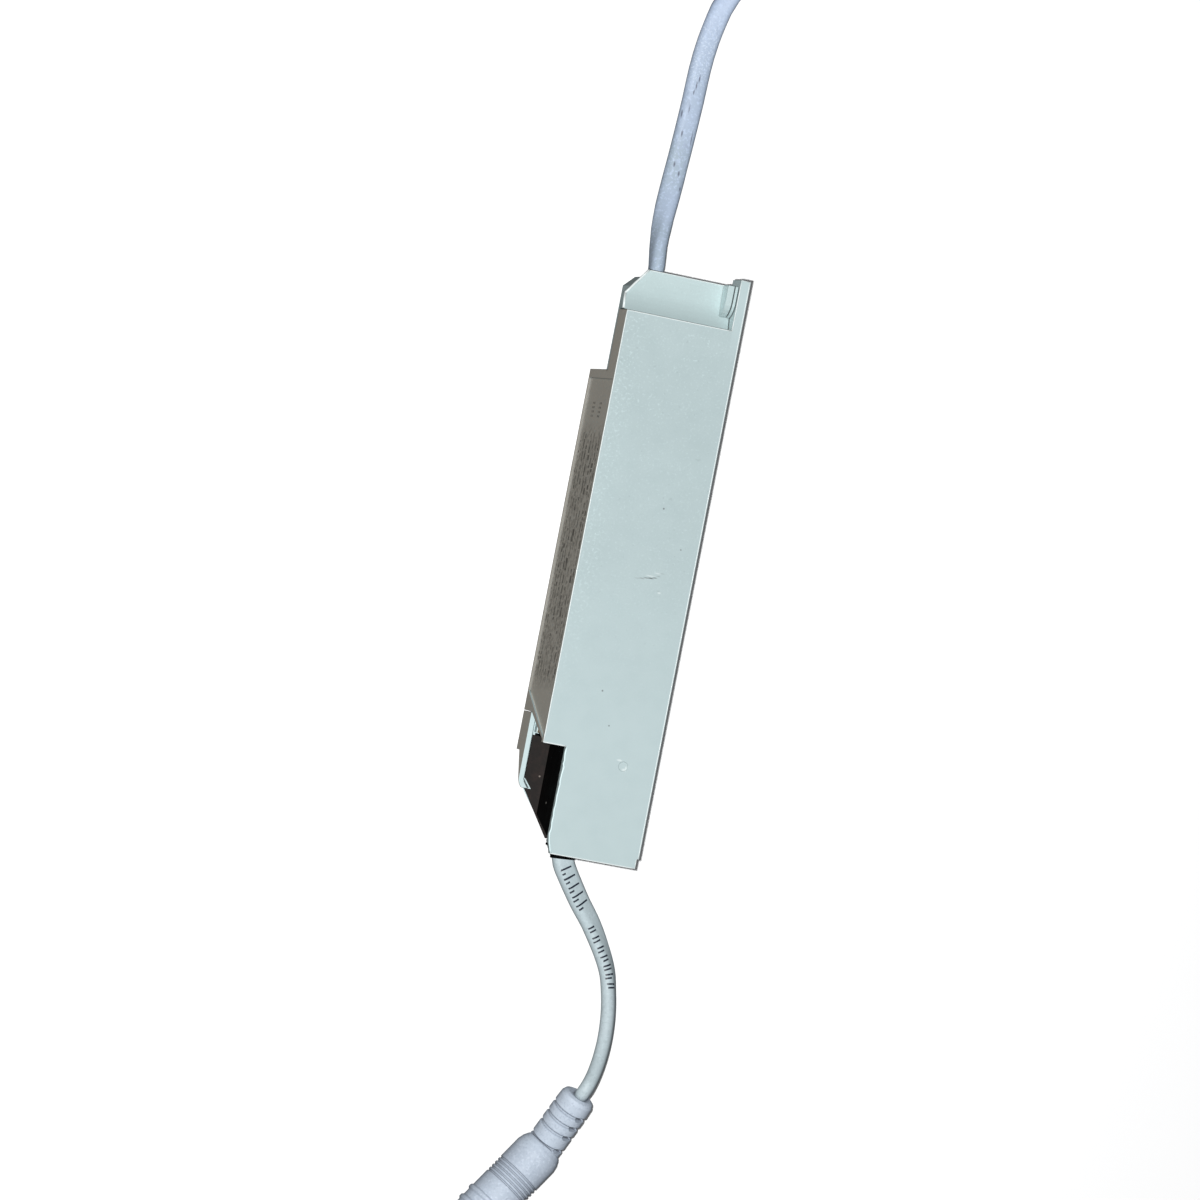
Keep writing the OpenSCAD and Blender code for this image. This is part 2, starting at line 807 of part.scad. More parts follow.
fuse_l = 6.5;
fuse_x = -space_half + fuse_l / 2 + 1.4;
module fuse() {
    fuse_z = board_top + fuse_d / 2 + seat;
    color([0.85, 0.83, 0.76]) {
        translate([fuse_x - fuse_l / 2, fuse_row, fuse_z]) rotate([0, 90, 0])
            cylinder(d = fuse_d - 0.5, h = fuse_l, $fn = 32);
        for (side = [-1, 1])
            translate([fuse_x + side * (fuse_l / 2 - 1) - 1, fuse_row, fuse_z]) rotate([0, 90, 0])
                cylinder(d = fuse_d, h = 2, $fn = 32);
        legs([for (side = [-1, 1]) [fuse_x + side * (fuse_l / 2 - 0.6), fuse_row]], fuse_z);
    }
}

varistor_d = 7;
module varistor() {
    color([0.2, 0.42, 0.62])
        disc_part(varistor_d, fuse_d, [space_half - varistor_d / 2 - part_gap, fuse_row]);
}

module x_capacitor() {
    color([0.75, 0.7, 0.25])
        soft_block([15, x_cap_t, x_cap_h], [0, x_cap_row, board_top], 0.6);
}

// Mains choke: a square ring of ferrite that stands clear of the board on its two windings
choke_w = 13;
choke_leg = 3.2;
choke_turns_t = 1.2;
choke_z = board_top + choke_leg / 2 + choke_turns_t + seat;
module choke_core() {
    color(ferrite) translate([0, 0, choke_z - choke_leg / 2]) difference() {
        block([choke_w, choke_l, choke_leg], [0, choke_row, 0]);
        block([choke_w - 2 * choke_leg, choke_l - 2 * choke_leg, 3 * choke_leg], [0, choke_row, -choke_leg]);
    }
}

module choke_winding() {
    coil_l = choke_l - 2 * choke_leg - 0.4;
    outer = choke_leg + 2 * choke_turns_t;
    color(copper)
        for (side = [-1, 1])
            translate([side * (choke_w - choke_leg) / 2, choke_row + coil_l / 2, choke_z])
                rotate([90, 0, 0]) linear_extrude(coil_l) difference() {
                    rounded(outer, outer, 1);
                    square(choke_leg + 0.2, center = true);
                }
}

module bridge_rectifier() {
    at_x = space_half - bridge_size[0] / 2 - 1.2;
    color([0.12, 0.12, 0.13]) {
        soft_block(bridge_size - [0, 0, 0.4], [at_x, bridge_row, board_top + 0.4], 0.3);
        for (x = [-1, 1])
            for (y = [-1, 1])
                block([0.7, 1, 0.6], [at_x + x * 1.3, bridge_row + y * (bridge_size[1] / 2 - 0.5), board_top]);
    }
}

y_cap_d = 7;
module y_capacitor() {
    color([0.2, 0.45, 0.7])
        disc_part(y_cap_d, fuse_d, [-space_half + y_cap_d / 2 + part_gap, bridge_row]);
}

bulk_x = -space_half + bulk_d / 2 + fit_gap;
module bulk_capacitor() {
    color([0.13, 0.14, 0.18])
        translate([bulk_x, bulk_row - bulk_l / 2, board_top + bulk_d / 2 + seat]) rotate([-90, 0, 0])
        can(bulk_d, bulk_l);
}

// Transformer: a ferrite frame with two windows, and the winding round its middle leg
core_w = 6;
core_yoke = 2;
core_leg = 3.8;
core_window = (core_l - 2 * core_yoke - core_leg) / 2;
module transformer_core() {
    color(ferrite) difference() {
        block([core_w, core_l, core_h], [0, core_row, board_top]);
        for (side = [-1, 1])
            block([core_w + 2 * past, core_window, core_h - 2 * core_yoke],
                [0, core_row + side * (core_leg + core_window) / 2, board_top + core_yoke]);
    }
}

module transformer_winding() {
    wound_w = 11;
    wound_l = core_leg + 2 * core_window - 2 * fit_gap;
    wound_h = core_h - 2 * core_yoke - 2 * fit_gap;
    rail_w = 1.4;
    low = board_top + core_yoke + fit_gap;
    color([0.82, 0.72, 0.28]) {
        difference() {
            soft_block([wound_w, wound_l, wound_h], [0, core_row, low], 1.2);
            block([core_w + 2 * fit_gap, core_leg + 2 * fit_gap, core_h], [0, core_row, board_top]);
        }
        for (side = [-1, 1])
            block([rail_w, wound_l - 2.6, core_yoke + fit_gap + eps],
                [side * (wound_w - rail_w) / 2, core_row, board_top]);
    }
}

// Bent heat sink with the power transistor against its inner face
sink_t = 1.5;
sink_x = space_half - fit_gap - sink_t / 2;
sink_flange = 4.6;
module heat_sink() {
    color(steel) {
        block([sink_t, bulk_l, sink_h], [sink_x, bulk_row, board_top]);
        block([sink_flange, bulk_l, sink_t],
            [sink_x + sink_t / 2 - sink_flange / 2, bulk_row, board_top + sink_h - sink_t]);
    }
}

module power_transistor() {
    body = [2.8, 8, min(9, sink_h - sink_t - 1.4)];
    body_x = sink_x - sink_t / 2 - seat - body[0] / 2;
    color([0.12, 0.12, 0.13]) {
        soft_block(body, [body_x, bulk_row, board_top + past], 0.3);
        for (k = [-1, 0, 1])
            block([0.5, 0.9, past + eps], [body_x, bulk_row + k * 2.4, board_top]);
    }
}

// Small parts beside the transformer
side_x = (space_half + 5.5) / 2;
module controller_chip() {
    chip = [1.6, 2.9, 1.1];
    color([0.1, 0.1, 0.11]) {
        soft_block(chip, [side_x, core_row - core_l / 4, board_top + 0.15], 0.2);
        for (side = [-1, 1])
            for (k = [-1 : 1])
                block([0.7, 0.4, 0.4],
                    [side_x + side * (chip[0] / 2 + 0.15), core_row - core_l / 4 + k * 0.95, board_top]);
    }
}

module chip_resistors() {
    color([0.15, 0.15, 0.16])
        for (side = [-1, 1])
            for (k = [0 : 2])
                block([2, 1.2, 0.5], [side * side_x, core_row + 1 + k * 1.8, board_top]);
}

module output_diode() {
    color([0.1, 0.1, 0.11]) {
        soft_block([2.8, 4.6, 2], [-side_x, core_row - core_l / 4, board_top + 0.2], 0.2);
        for (side = [-1, 1])
            block([1.6, 1, 0.4], [-side_x, core_row - core_l / 4 + side * 2.4, board_top]);
    }
}

// Output row: two capacitors and a drum-core inductor
drum_d = 5.6;
module output_capacitors() {
    color([0.13, 0.14, 0.18])
        for (k = [0, 1])
            translate([-space_half + out_cap_d * (k + 0.5) + 0.5 * (k + 1), out_row, board_top])
                can(out_cap_d, out_cap_h);
}

module filter_inductor() {
    drum_h = 8;
    r = drum_d / 2;
    color(ferrite) translate([space_half - r - 0.3, out_row, board_top]) rotate_extrude($fn = 48) polygon([
        [0, 0],
        [r, 0],
        [r, 1.4],
        [r - 0.8, 1.8],
        [r - 0.8, drum_h - 1.8],
        [r, drum_h - 1.4],
        [r, drum_h],
        [0, drum_h]
    ]);
}

// Grip over the output lead: a bar on two bosses, held by two screws
module output_clamp() {
    bar_w = out_grip_span + boss_d;
    color(cap_pale) difference() {
        block([bar_w, grip_l, grip_t], [out_x, out_grip_y, out_boss_top]);
        for (side = [-1, 1])
            translate([out_x + side * out_grip_span / 2, out_grip_y, 0])
                cylinder(d = screw_d + 0.2, h = body_h, $fn = 24);
    }
}

// Grip beside the mains lead: a block on its seat that holds the lead against the stop
module input_clamp() {
    color(cap_pale) difference() {
        block([in_grip_w, grip_l, in_grip_top - in_boss_top],
            [in_x + cord_t / 2 + seat + in_grip_w / 2, in_grip_y, in_boss_top]);
        translate([in_x + cord_t / 2 + seat + in_grip_w / 2, in_grip_y, 0])
            cylinder(d = screw_d + 0.2, h = body_h, $fn = 24);
    }
}

// A cross-slotted screw whose head's underside lies at z = 0
module screw(reach) {
    difference() {
        union() {
            cylinder(d = screw_head_d, h = screw_head_h, $fn = 32);
            translate([0, 0, -reach]) cylinder(d = screw_d, h = reach + eps, $fn = 24);
        }
        for (turn = [0, 90])
            rotate(turn) block([screw_head_d * 0.6, 0.45, screw_head_h], [0, 0, screw_head_h * 0.45]);
    }
}

module clamp_screws() {
    color(steel) {
        for (side = [-1, 1])
            translate([out_x + side * out_grip_span / 2, out_grip_y, out_boss_top + grip_t])
                screw(out_boss_top + grip_t - sheet_top - past);
        translate([in_x + cord_t / 2 + seat + in_grip_w / 2, in_grip_y, in_grip_top])
            screw(in_grip_top - sheet_top - 0.5);
    }
}

// Cores of the leads inside the housing, from the end of each sheath to the board
wire_low = board_top + core_d / 2 + seat;
module input_wires() {
    start = IN_ROUTE[0][0][1] - 2 * seat;
    pad_y = board_y1 - pad_l;
    for (side = [-1, 1]) {
        x = in_x - 0.9 + side * 1.5;
        z = in_z + side * (core_d / 2 + seat);
        color([0.35, 0.3, 0.3]) wire([
            [in_x, start, z],
            [in_x, start - 2, z],
            [x, pad_y + pad_l + 3, z],
            [x, pad_y + pad_l, (z + wire_low) / 2],
            [x, pad_y + pad_l / 2, wire_low],
            [x, pad_y + 0.4, wire_low]
        ], core_d, [0, 0, 1]);
    }
}

module output_wires() {
    start = OUT_ROUTE[0][0][1] + 2 * seat;
    for (side = [-1, 1]) {
        x = out_x + side * (core_d / 2 + seat);
        color([0.35, 0.3, 0.3]) wire([
            [x, start, out_z],
            [x, start + 1.5, out_z],
            [x + side * 0.5, start + 4, (out_z + wire_low) / 2 + 0.8],
            [x + side, board_y0 - 1.5, wire_low + 0.6],
            [x + side, board_y0 + 0.6, wire_low],
            [x + side, board_y0 + pad_l - 0.4, wire_low]
        ], core_d, [0, 0, 1]);
    }
}

// Black sleeve round the output lead where it leaves the housing
module output_cord_sleeve() {
    y0 = from_output(-sleeve_out);
    y1 = out_grip_y - grip_l / 2 - seat;
    color(film_black) difference() {
        oval_bar(cord_w + 2 * (sleeve_gap + sleeve_t), cord_t + 2 * (sleeve_gap + sleeve_t), out_x, out_z, y0, y1, 0);
        oval_bar(cord_w + 2 * sleeve_gap, cord_t + 2 * sleeve_gap, out_x, out_z, y0 - past, y1 + past, 0);
    }
}

module output_cord() {
    color(lead_grey) lead(OUT_ROUTE);
}

module input_cord() {
    color(lead_grey) lead(IN_ROUTE);
}

// Outer shape of the stored turns, with a groove where the tie passes under them
module input_coil() {
    color(lead_grey) translate([coil_at[0], coil_at[1], 0]) difference() {
        rotate_extrude($fn = 96) polygon([
            [coil_in, 0.6],
            [coil_in + 0.6, 0],
            [coil_out - 0.6, 0],
            [coil_out, 0.6],
            [coil_out, coil_h - 0.6],
            [coil_out - 0.6, coil_h],
            [coil_in + 0.6, coil_h],
            [coil_in, coil_h - 0.6]
        ]);
        rotate(tie_angle)
            block([coil_out - coil_in + 4, tie_w + 0.6, past + tie_t + seat], [(coil_in + coil_out) / 2, 0, -past]);
    }
}

module coil_tie() {
    middle = (coil_in + coil_out) / 2;
    inner_w = coil_out - coil_in + fit_gap;
    inner_h = coil_h + tie_t;
    color([0.9, 0.91, 0.9]) translate([coil_at[0], coil_at[1], 0]) rotate(tie_angle) {
        difference() {
            block([inner_w + 2 * tie_t, tie_w, inner_h + 2 * tie_t], [middle, 0, 0]);
            block([inner_w, tie_w + 2 * past, inner_h], [middle, 0, tie_t]);
        }
        block(tie_head, [middle + inner_w / 2 + tie_t + tie_head[0] / 2 - 0.2, 0, inner_h + 2 * tie_t - tie_head[2]]);
    }
}

module lead_cores() {
    color([0.3, 0.35, 0.5])
        for (route = CORE_ROUTES) wire(route, core_d, [0, 0, 1]);
}

module lead_strands() {
    color(copper)
        for (route = CORE_ROUTES) {
            last = len(route) - 1;
            ahead = unit(route[last] - route[last - 1]);
            wire([route[last] + ahead * 2 * seat, route[last] + ahead * strand_l], strand_d, [0, 0, 1]);
        }
}

// Inline socket: strain relief and body as one moulding, both along z from the relief's tip
boot_grooves = [for (t = [0.25, 0.42, 0.59, 0.83]) t * boot_l];
boot_groove = 0.4;
boot_window = [1.6, 3, 1.3];
window_turn = 44;
function boot_r(z) = boot_d / 2 + (plug_d / 2 - 1.4 - boot_d / 2) * z / boot_l;
boot_profile = concat(
    [[0, 0], [boot_r(0) - 1.2, 0], [boot_r(0) - 0.4, 0.4], [boot_r(0), 1.2]],
    [
        for (z = boot_grooves)
            each [
                [boot_r(z) + 0.1, z - boot_groove],
                [boot_r(z) - boot_groove, z],
                [boot_r(z) - boot_groove, z + boot_groove],
                [boot_r(z) + 0.1, z + 2 * boot_groove]
            ]
    ],
    [[boot_r(boot_l), boot_l + 1], [0, boot_l + 1]]
);
ring_profile = [
    for (at = plug_rings)
        each [
            [plug_d / 2, boot_l + at - 0.3],
            [plug_d / 2 - 0.25, boot_l + at - 0.15],
            [plug_d / 2 - 0.25, boot_l + at + 0.15],
            [plug_d / 2, boot_l + at + 0.3]
        ]
];
bead_profile = [
    for (at = plug_beads)
        each [
            [plug_d / 2, boot_l + at - 0.6],
            [plug_d / 2 + bead_h, boot_l + at - 0.2],
            [plug_d / 2 + bead_h, boot_l + at + 0.5],
            [plug_d / 2, boot_l + at + 0.9]
        ]
];
plug_end = boot_l + plug_l;
bore_r = socket_d / 2 + contact_t + seat;
module on_plug_axis() {
    translate(plug_base) rotate(plug_heading) rotate([0, 90, 0]) translate([0, 0, -boot_l]) children();
}

module on_boot_axis() {
    translate(plug_at) rotate(boot_heading) rotate([0, 90 + boot_rise, 0]) children();
}

module connector_moulding() {
    color(lead_grey) {
        on_plug_axis() difference() {
            rotate_extrude($fn = 64) polygon(concat(
                [[0, boot_l - 2], [3.4, boot_l - 1.8], [plug_d / 2 - 0.9, boot_l - 0.6]],
                [[plug_d / 2 - 0.3, boot_l + 0.6], [plug_d / 2, boot_l + 2]],
                ring_profile,
                bead_profile,
                [[plug_d / 2, plug_end - 0.6], [plug_d / 2 - 0.6, plug_end], [0, plug_end]]
            ));
            translate([0, 0, plug_end - socket_l - insert_l]) cylinder(r = bore_r, h = plug_l, $fn = 64);
        }
        on_boot_axis() difference() {
            rotate_extrude($fn = 64) polygon(boot_profile);
            rotate(window_turn)
                for (z = boot_grooves)
                    for (side = [-1, 1])
                        block(
                            [boot_window[1], boot_window[0] + past, boot_window[2]],
                            [0, side * (boot_r(z) + (past - boot_window[0]) / 2), z + (boot_groove - boot_window[2]) / 2]
                        );
        }
    }
}

module connector_insert() {
    color(film_black) on_plug_axis()
        translate([0, 0, plug_end - socket_l - insert_l + seat])
        cylinder(r = bore_r - seat, h = insert_l - 2 * seat, $fn = 64);
}

module connector_sleeve() {
    color(steel) on_plug_axis() translate([0, 0, plug_end - socket_l]) difference() {
        cylinder(d = socket_d + 2 * contact_t, h = socket_l - 0.6, $fn = 64);
        translate([0, 0, -past]) cylinder(d = socket_d, h = socket_l + 2 * past, $fn = 64);
    }
}

module connector_pin() {
    r = pin_d / 2;
    pin_l = socket_l - 1;
    color(steel) on_plug_axis() translate([0, 0, plug_end - socket_l]) rotate_extrude($fn = 48) polygon([
        [0, 0],
        [r, 0],
        [r, pin_l - 0.4],
        [r - 0.4, pin_l],
        [0, pin_l]
    ]);
}

upper_shell();
base_tray();
input_end_cap();
insulating_liner();
insulating_sheet();
circuit_board();
fuse();
varistor();
x_capacitor();
choke_core();
choke_winding();
bridge_rectifier();
bulk_capacitor();
transformer_core();
transformer_winding();
power_transistor();
heat_sink();
controller_chip();
chip_resistors();
y_capacitor();
output_diode();
filter_inductor();
output_capacitors();
input_clamp();
output_clamp();
clamp_screws();
input_wires();
output_wires();
output_cord_sleeve();
input_cord();
input_coil();
coil_tie();
lead_cores();
lead_strands();
output_cord();
connector_moulding();
connector_insert();
connector_sleeve();
connector_pin();
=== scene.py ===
"""Slim power supply with a flat mains lead and a flat output lead, lying on a pale floor.

Places and sizes are in mm in the part's frame, where nothing else is said.
"""
import math
import random

import bmesh
import bpy
from mathutils import Matrix, Vector, noise


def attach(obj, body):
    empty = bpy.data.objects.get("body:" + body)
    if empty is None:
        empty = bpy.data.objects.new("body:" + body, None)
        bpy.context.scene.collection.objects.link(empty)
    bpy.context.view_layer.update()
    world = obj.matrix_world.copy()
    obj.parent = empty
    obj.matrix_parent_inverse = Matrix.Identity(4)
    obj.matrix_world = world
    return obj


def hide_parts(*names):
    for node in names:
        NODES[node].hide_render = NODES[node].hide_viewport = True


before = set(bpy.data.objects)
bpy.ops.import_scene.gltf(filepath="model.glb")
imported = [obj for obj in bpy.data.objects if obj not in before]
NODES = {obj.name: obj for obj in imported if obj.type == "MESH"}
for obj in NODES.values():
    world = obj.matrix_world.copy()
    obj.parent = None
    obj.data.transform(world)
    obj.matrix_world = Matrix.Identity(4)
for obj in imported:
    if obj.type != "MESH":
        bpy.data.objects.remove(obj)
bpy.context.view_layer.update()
MM = 0.001
X, Y, Z = 0, 1, 2
UP = Vector((0, 0, 1))
scene = bpy.context.scene
collection = scene.collection

# Camera: nearly from above, leaning left, with the housing's long axis 11 degrees clockwise
TOWARDS = Vector((-0.265, 0.0, 0.964)).normalized()
CAMERA_AIM = Vector((-7.0, -9.5, 22.0))
CAMERA_AWAY_M = 1.5
CAMERA_LENS = 198.0
CAMERA_SENSOR = 36.0
CAMERA_SEES_M = 20.0
LEAN = math.radians(11.0)


def add_camera():
    along = Vector((0, 1, 0))
    along = (along - along.dot(TOWARDS) * TOWARDS).normalized()
    across = along.cross(TOWARDS)
    up = along * math.cos(LEAN) - across * math.sin(LEAN)
    right = across * math.cos(LEAN) + along * math.sin(LEAN)
    data = bpy.data.cameras.new("camera")
    data.lens = CAMERA_LENS
    data.sensor_width = CAMERA_SENSOR
    data.clip_end = CAMERA_SEES_M
    camera = bpy.data.objects.new("camera", data)
    collection.objects.link(camera)
    place = CAMERA_AIM * MM + TOWARDS * CAMERA_AWAY_M
    turn = Matrix((right, up, TOWARDS)).transposed().to_4x4()
    camera.matrix_world = Matrix.Translation(place) @ turn
    scene.camera = camera


add_camera()


# Routes, outlines and tubes
def spline(places, step):
    """Points about step apart on a smooth curve through places, each a tuple of numbers."""
    pts = [Vector(p) for p in places]
    pts = [pts[0] * 2 - pts[1]] + pts + [pts[-1] * 2 - pts[-2]]
    out = []
    for i in range(1, len(pts) - 2):
        p0, p1, p2, p3 = pts[i - 1 : i + 3]
        count = max(1, round((p2.to_3d() - p1.to_3d()).length / step))
        for k in range(count):
            t = k / count
            line = 2 * p1 + (p2 - p0) * t
            square = (2 * p0 - 5 * p1 + 4 * p2 - p3) * t * t
            cube = (3 * p1 - p0 - 3 * p2 + p3) * t**3
            out.append(0.5 * (line + square + cube))
    out.append(pts[-2].copy())
    return out


def axes(ahead, above=UP):
    """The directions across and above the way ahead."""
    across = ahead.cross(above).normalized()
    return across, across.cross(ahead)


def rolled(a, b, degrees):
    """The point (a, b) of an outline after the outline rolls."""
    roll = math.radians(degrees)
    return a * math.cos(roll) - b * math.sin(roll), a * math.sin(roll) + b * math.cos(roll)


def flat_outline(width, thick, sides):
    """Outline of a flat lead, wide along its first number."""
    half = (width - thick) / 2
    out = []
    for side in (1, -1):
        for k in range(sides + 1):
            a = math.radians(-90 + 180 * k / sides) + (0 if side > 0 else math.pi)
            out.append((side * half + thick / 2 * math.cos(a), thick / 2 * math.sin(a)))
    return out


def round_outline(diameter, sides):
    turns = [2 * math.pi * k / sides for k in range(sides)]
    return [(diameter / 2 * math.cos(a), diameter / 2 * math.sin(a)) for a in turns]


def add_tube(bm, places, outline, above=UP):
    """A closed tube in bm along places, each (x, y, z) or (x, y, z, roll in degrees)."""
    last = len(places) - 1
    rings = []
    for i, p in enumerate(places):
        at = p.to_3d()
        ahead = (places[min(i + 1, last)].to_3d() - places[max(i - 1, 0)].to_3d()).normalized()
        across, up = axes(ahead, above)
        ring = []
        for a, b in outline:
            x, y = rolled(a, b, p[3] if len(p) > 3 else 0)
            ring.append(bm.verts.new((at + across * x + up * y) * MM))
        rings.append(ring)
    n = len(outline)
    for a, b in zip(rings, rings[1:]):
        for k in range(n):
            bm.faces.new((a[k], a[(k + 1) % n], b[(k + 1) % n], b[k]))
    bm.faces.new(rings[0][::-1])
    bm.faces.new(rings[-1])


def new_object(name, bm, material, smooth=True, rides=True):
    mesh = bpy.data.meshes.new(name)
    bm.normal_update()
    bm.to_mesh(mesh)
    bm.free()
    for polygon in mesh.polygons:
        polygon.use_smooth = smooth
    mesh.materials.append(material)
    obj = bpy.data.objects.new(name, mesh)
    collection.objects.link(obj)
    if rides:
        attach(obj, "root")
    return obj


def swept(name, routes, outline, material):
    bm = bmesh.new()
    for places in routes:
        add_tube(bm, places, outline)
    bmesh.ops.recalc_face_normals(bm, faces=bm.faces)
    return new_object(name, bm, material)


# Materials: at scale 1 a wave texture's bands repeat every WAVE_REPEAT
WAVE_REPEAT = 0.314


def srgb(r, g, b):
    """Linear colour of an 8-bit screen colour."""
    def one(v):
        v /= 255
        return v / 12.92 if v <= 0.04045 else ((v + 0.055) / 1.055) ** 2.4

    return one(r), one(g), one(b)


def scaled(colour, k):
    return tuple(min(1.0, c * k) for c in colour)


class Paint:
    """A node material that is built up step by step round one Principled shader."""

    def __init__(self, name, colour, rough=0.5, metal=0.0, spec=0.5):
        self.mat = bpy.data.materials.new(name)
        self.mat.use_nodes = True
        self.tree = self.mat.node_tree
        self.bsdf = self.tree.nodes["Principled BSDF"]
        self.base = (*colour, 1)
        self.put("Base Color", self.base)
        self.put("Roughness", rough)
        self.put("Metallic", metal)
        self.put("Specular IOR Level", spec)
        self.colour = None
        self.normal = None
        self.coord = self.node("ShaderNodeTexCoord").outputs["Object"]

    def put(self, name, value):
        self.bsdf.inputs[name].default_value = value

    def node(self, kind, **values):
        n = self.tree.nodes.new(kind)
        for k, v in values.items():
            setattr(n, k, v)
        return n

    def link(self, a, b):
        self.tree.links.new(a, b)

    def noise(self, scale, detail=2, rough=0.5, stretch=None):
        vector = self.coord
        if stretch:
            m = self.node("ShaderNodeMapping")
            m.inputs["Scale"].default_value = stretch
            self.link(self.coord, m.inputs["Vector"])
            vector = m.outputs["Vector"]
        n = self.node("ShaderNodeTexNoise")
        n.inputs["Scale"].default_value = scale
        n.inputs["Detail"].default_value = detail
        n.inputs["Roughness"].default_value = rough
        self.link(vector, n.inputs["Vector"])
        return n.outputs["Fac"]

    def wave(self, direction, pitch, distort):
        """Ridges across a direction, pitch in mm."""
        n = self.node("ShaderNodeTexWave", wave_type="BANDS", bands_direction=direction)
        n.inputs["Scale"].default_value = WAVE_REPEAT / (pitch * MM)
        n.inputs["Distortion"].default_value = distort
        n.inputs["Detail"].default_value = 1.0
        self.link(self.coord, n.inputs["Vector"])
        return n.outputs["Fac"]

    def ramp(self, factor, low, high, to_low=0.0, to_high=1.0):
        n = self.node("ShaderNodeMapRange")
        n.clamp = True
        for name, v in zip(("From Min", "From Max", "To Min", "To Max"), (low, high, to_low, to_high)):
            n.inputs[name].default_value = v
        self.link(factor, n.inputs["Value"])
        return n.outputs["Result"]

    def grains(self, low, high, scale, detail=2, rough=0.5, stretch=None):
        """0 where the noise is at low, 1 where it is at high."""
        return self.ramp(self.noise(scale, detail, rough, stretch), low, high)

    def times(self, a, b):
        """The product of a factor and a factor or number."""
        n = self.node("ShaderNodeMath", operation="MULTIPLY")
        self.link(a, n.inputs[0])
        if isinstance(b, (int, float)):
            n.inputs[1].default_value = b
        else:
            self.link(b, n.inputs[1])
        return n.outputs["Value"]

    def both(self, *factors):
        out = factors[0]
        for f in factors[1:]:
            out = self.times(out, f)
        return out

    def split(self, vector):
        n = self.node("ShaderNodeSeparateXYZ")
        self.link(vector, n.inputs[0])
        return n.outputs

    def along(self, axis, low, high):
        """0 at low and 1 at high along an axis, in mm."""
        return self.ramp(self.split(self.coord)[axis], low * MM, high * MM)

    def within(self, axis, low, high, soft=0.2):
        """1 between low and high along an axis, in mm."""
        up = self.along(axis, low - soft, low + soft)
        return self.times(up, self.along(axis, high + soft, high - soft))

    def facing(self, axis, low, high):
        """How far the surface faces along an axis, from -1 to 1, as 0 at low and 1 at high."""
        normal = self.node("ShaderNodeTexCoord").outputs["Normal"]
        return self.ramp(self.split(normal)[axis], low, high)

    def on_left(self):
        return self.facing(X, -0.5, -0.9)

    def on_top(self):
        return self.facing(Z, 0.5, 0.9)

    def spot(self, at, size, soft=0.5):
        """1 inside an ellipsoid round a place, 0 outside it."""
        shift = self.node("ShaderNodeVectorMath", operation="SUBTRACT")
        self.link(self.coord, shift.inputs[0])
        shift.inputs[1].default_value = [v * MM for v in at]
        scale = self.node("ShaderNodeVectorMath", operation="MULTIPLY")
        self.link(shift.outputs[0], scale.inputs[0])
        scale.inputs[1].default_value = [1 / (v * MM) for v in size]
        far = self.node("ShaderNodeVectorMath", operation="LENGTH")
        self.link(scale.outputs[0], far.inputs[0])
        return self.ramp(far.outputs["Value"], 1.0 + soft, 1.0 - soft)

    def tint(self, factor, colour, amount=1.0):
        """Blends colour in where factor, from 0 to 1, says so."""
        n = self.node("ShaderNodeMix", data_type="RGBA")
        if amount != 1.0:
            factor = self.times(factor, amount)
        self.link(factor, n.inputs["Factor"])
        a, b = n.inputs[6], n.inputs[7]
        if self.colour is None:
            a.default_value = self.base
        else:
            self.link(self.colour, a)
        b.default_value = (*colour, 1)
        self.colour = n.outputs[2]

    def crevice_shade(self, reach, colour, amount, start=0.75, full=0.35):
        """Paints shade into narrow gaps and grooves, found by ambient occlusion, reach in mm."""
        n = self.node("ShaderNodeAmbientOcclusion", samples=8)
        n.inputs["Distance"].default_value = reach * MM
        self.tint(self.ramp(n.outputs["AO"], start, full), colour, amount)

    def roughen(self, factor, low, high):
        self.link(self.ramp(factor, 0.3, 0.7, low, high), self.bsdf.inputs["Roughness"])

    def soften(self, radius):
        """Rounds sharp edges in the shading, radius in mm."""
        n = self.node("ShaderNodeBevel", samples=4)
        n.inputs["Radius"].default_value = radius * MM
        self.normal = n.outputs["Normal"]

    def bump(self, height, strength, distance):
        """Relief of a height, distance in mm."""
        n = self.node("ShaderNodeBump")
        n.inputs["Strength"].default_value = strength
        n.inputs["Distance"].default_value = distance * MM
        self.link(height, n.inputs["Height"])
        if self.normal:
            self.link(self.normal, n.inputs["Normal"])
        self.normal = n.outputs["Normal"]

    def done(self):
        if self.colour is not None:
            self.link(self.colour, self.bsdf.inputs["Base Color"])
        if self.normal is not None:
            self.link(self.normal, self.bsdf.inputs["Normal"])
        return self.mat


PALE = (0.447, 0.549, 0.560)
# Warm tone of the shaded left side, painted into the colour; other colours on that side, print among
# them, are scaled from it.
WARM_SIDE_SHADE = (0.596, 0.567, 0.497)
CAP = (0.505, 0.625, 0.632)
LILAC = (0.49, 0.59, 0.76)
NEUTRAL = (0.445, 0.53, 0.56)
CONNECTOR = (0.49, 0.562, 0.66)
FIBRE = srgb(31, 27, 25)
LAMINATE = srgb(168, 132, 78)
TOP = 22.0

# Pinholes on the top face: place and radius
PINHOLES = [((3.67, 13.67), 0.2), ((-2.34, -29.65), 0.2), ((0.75, -37.2), 0.17), ((9.5, 5.2), 0.16)]
PIN_DARK = (0.12, 0.13, 0.13)
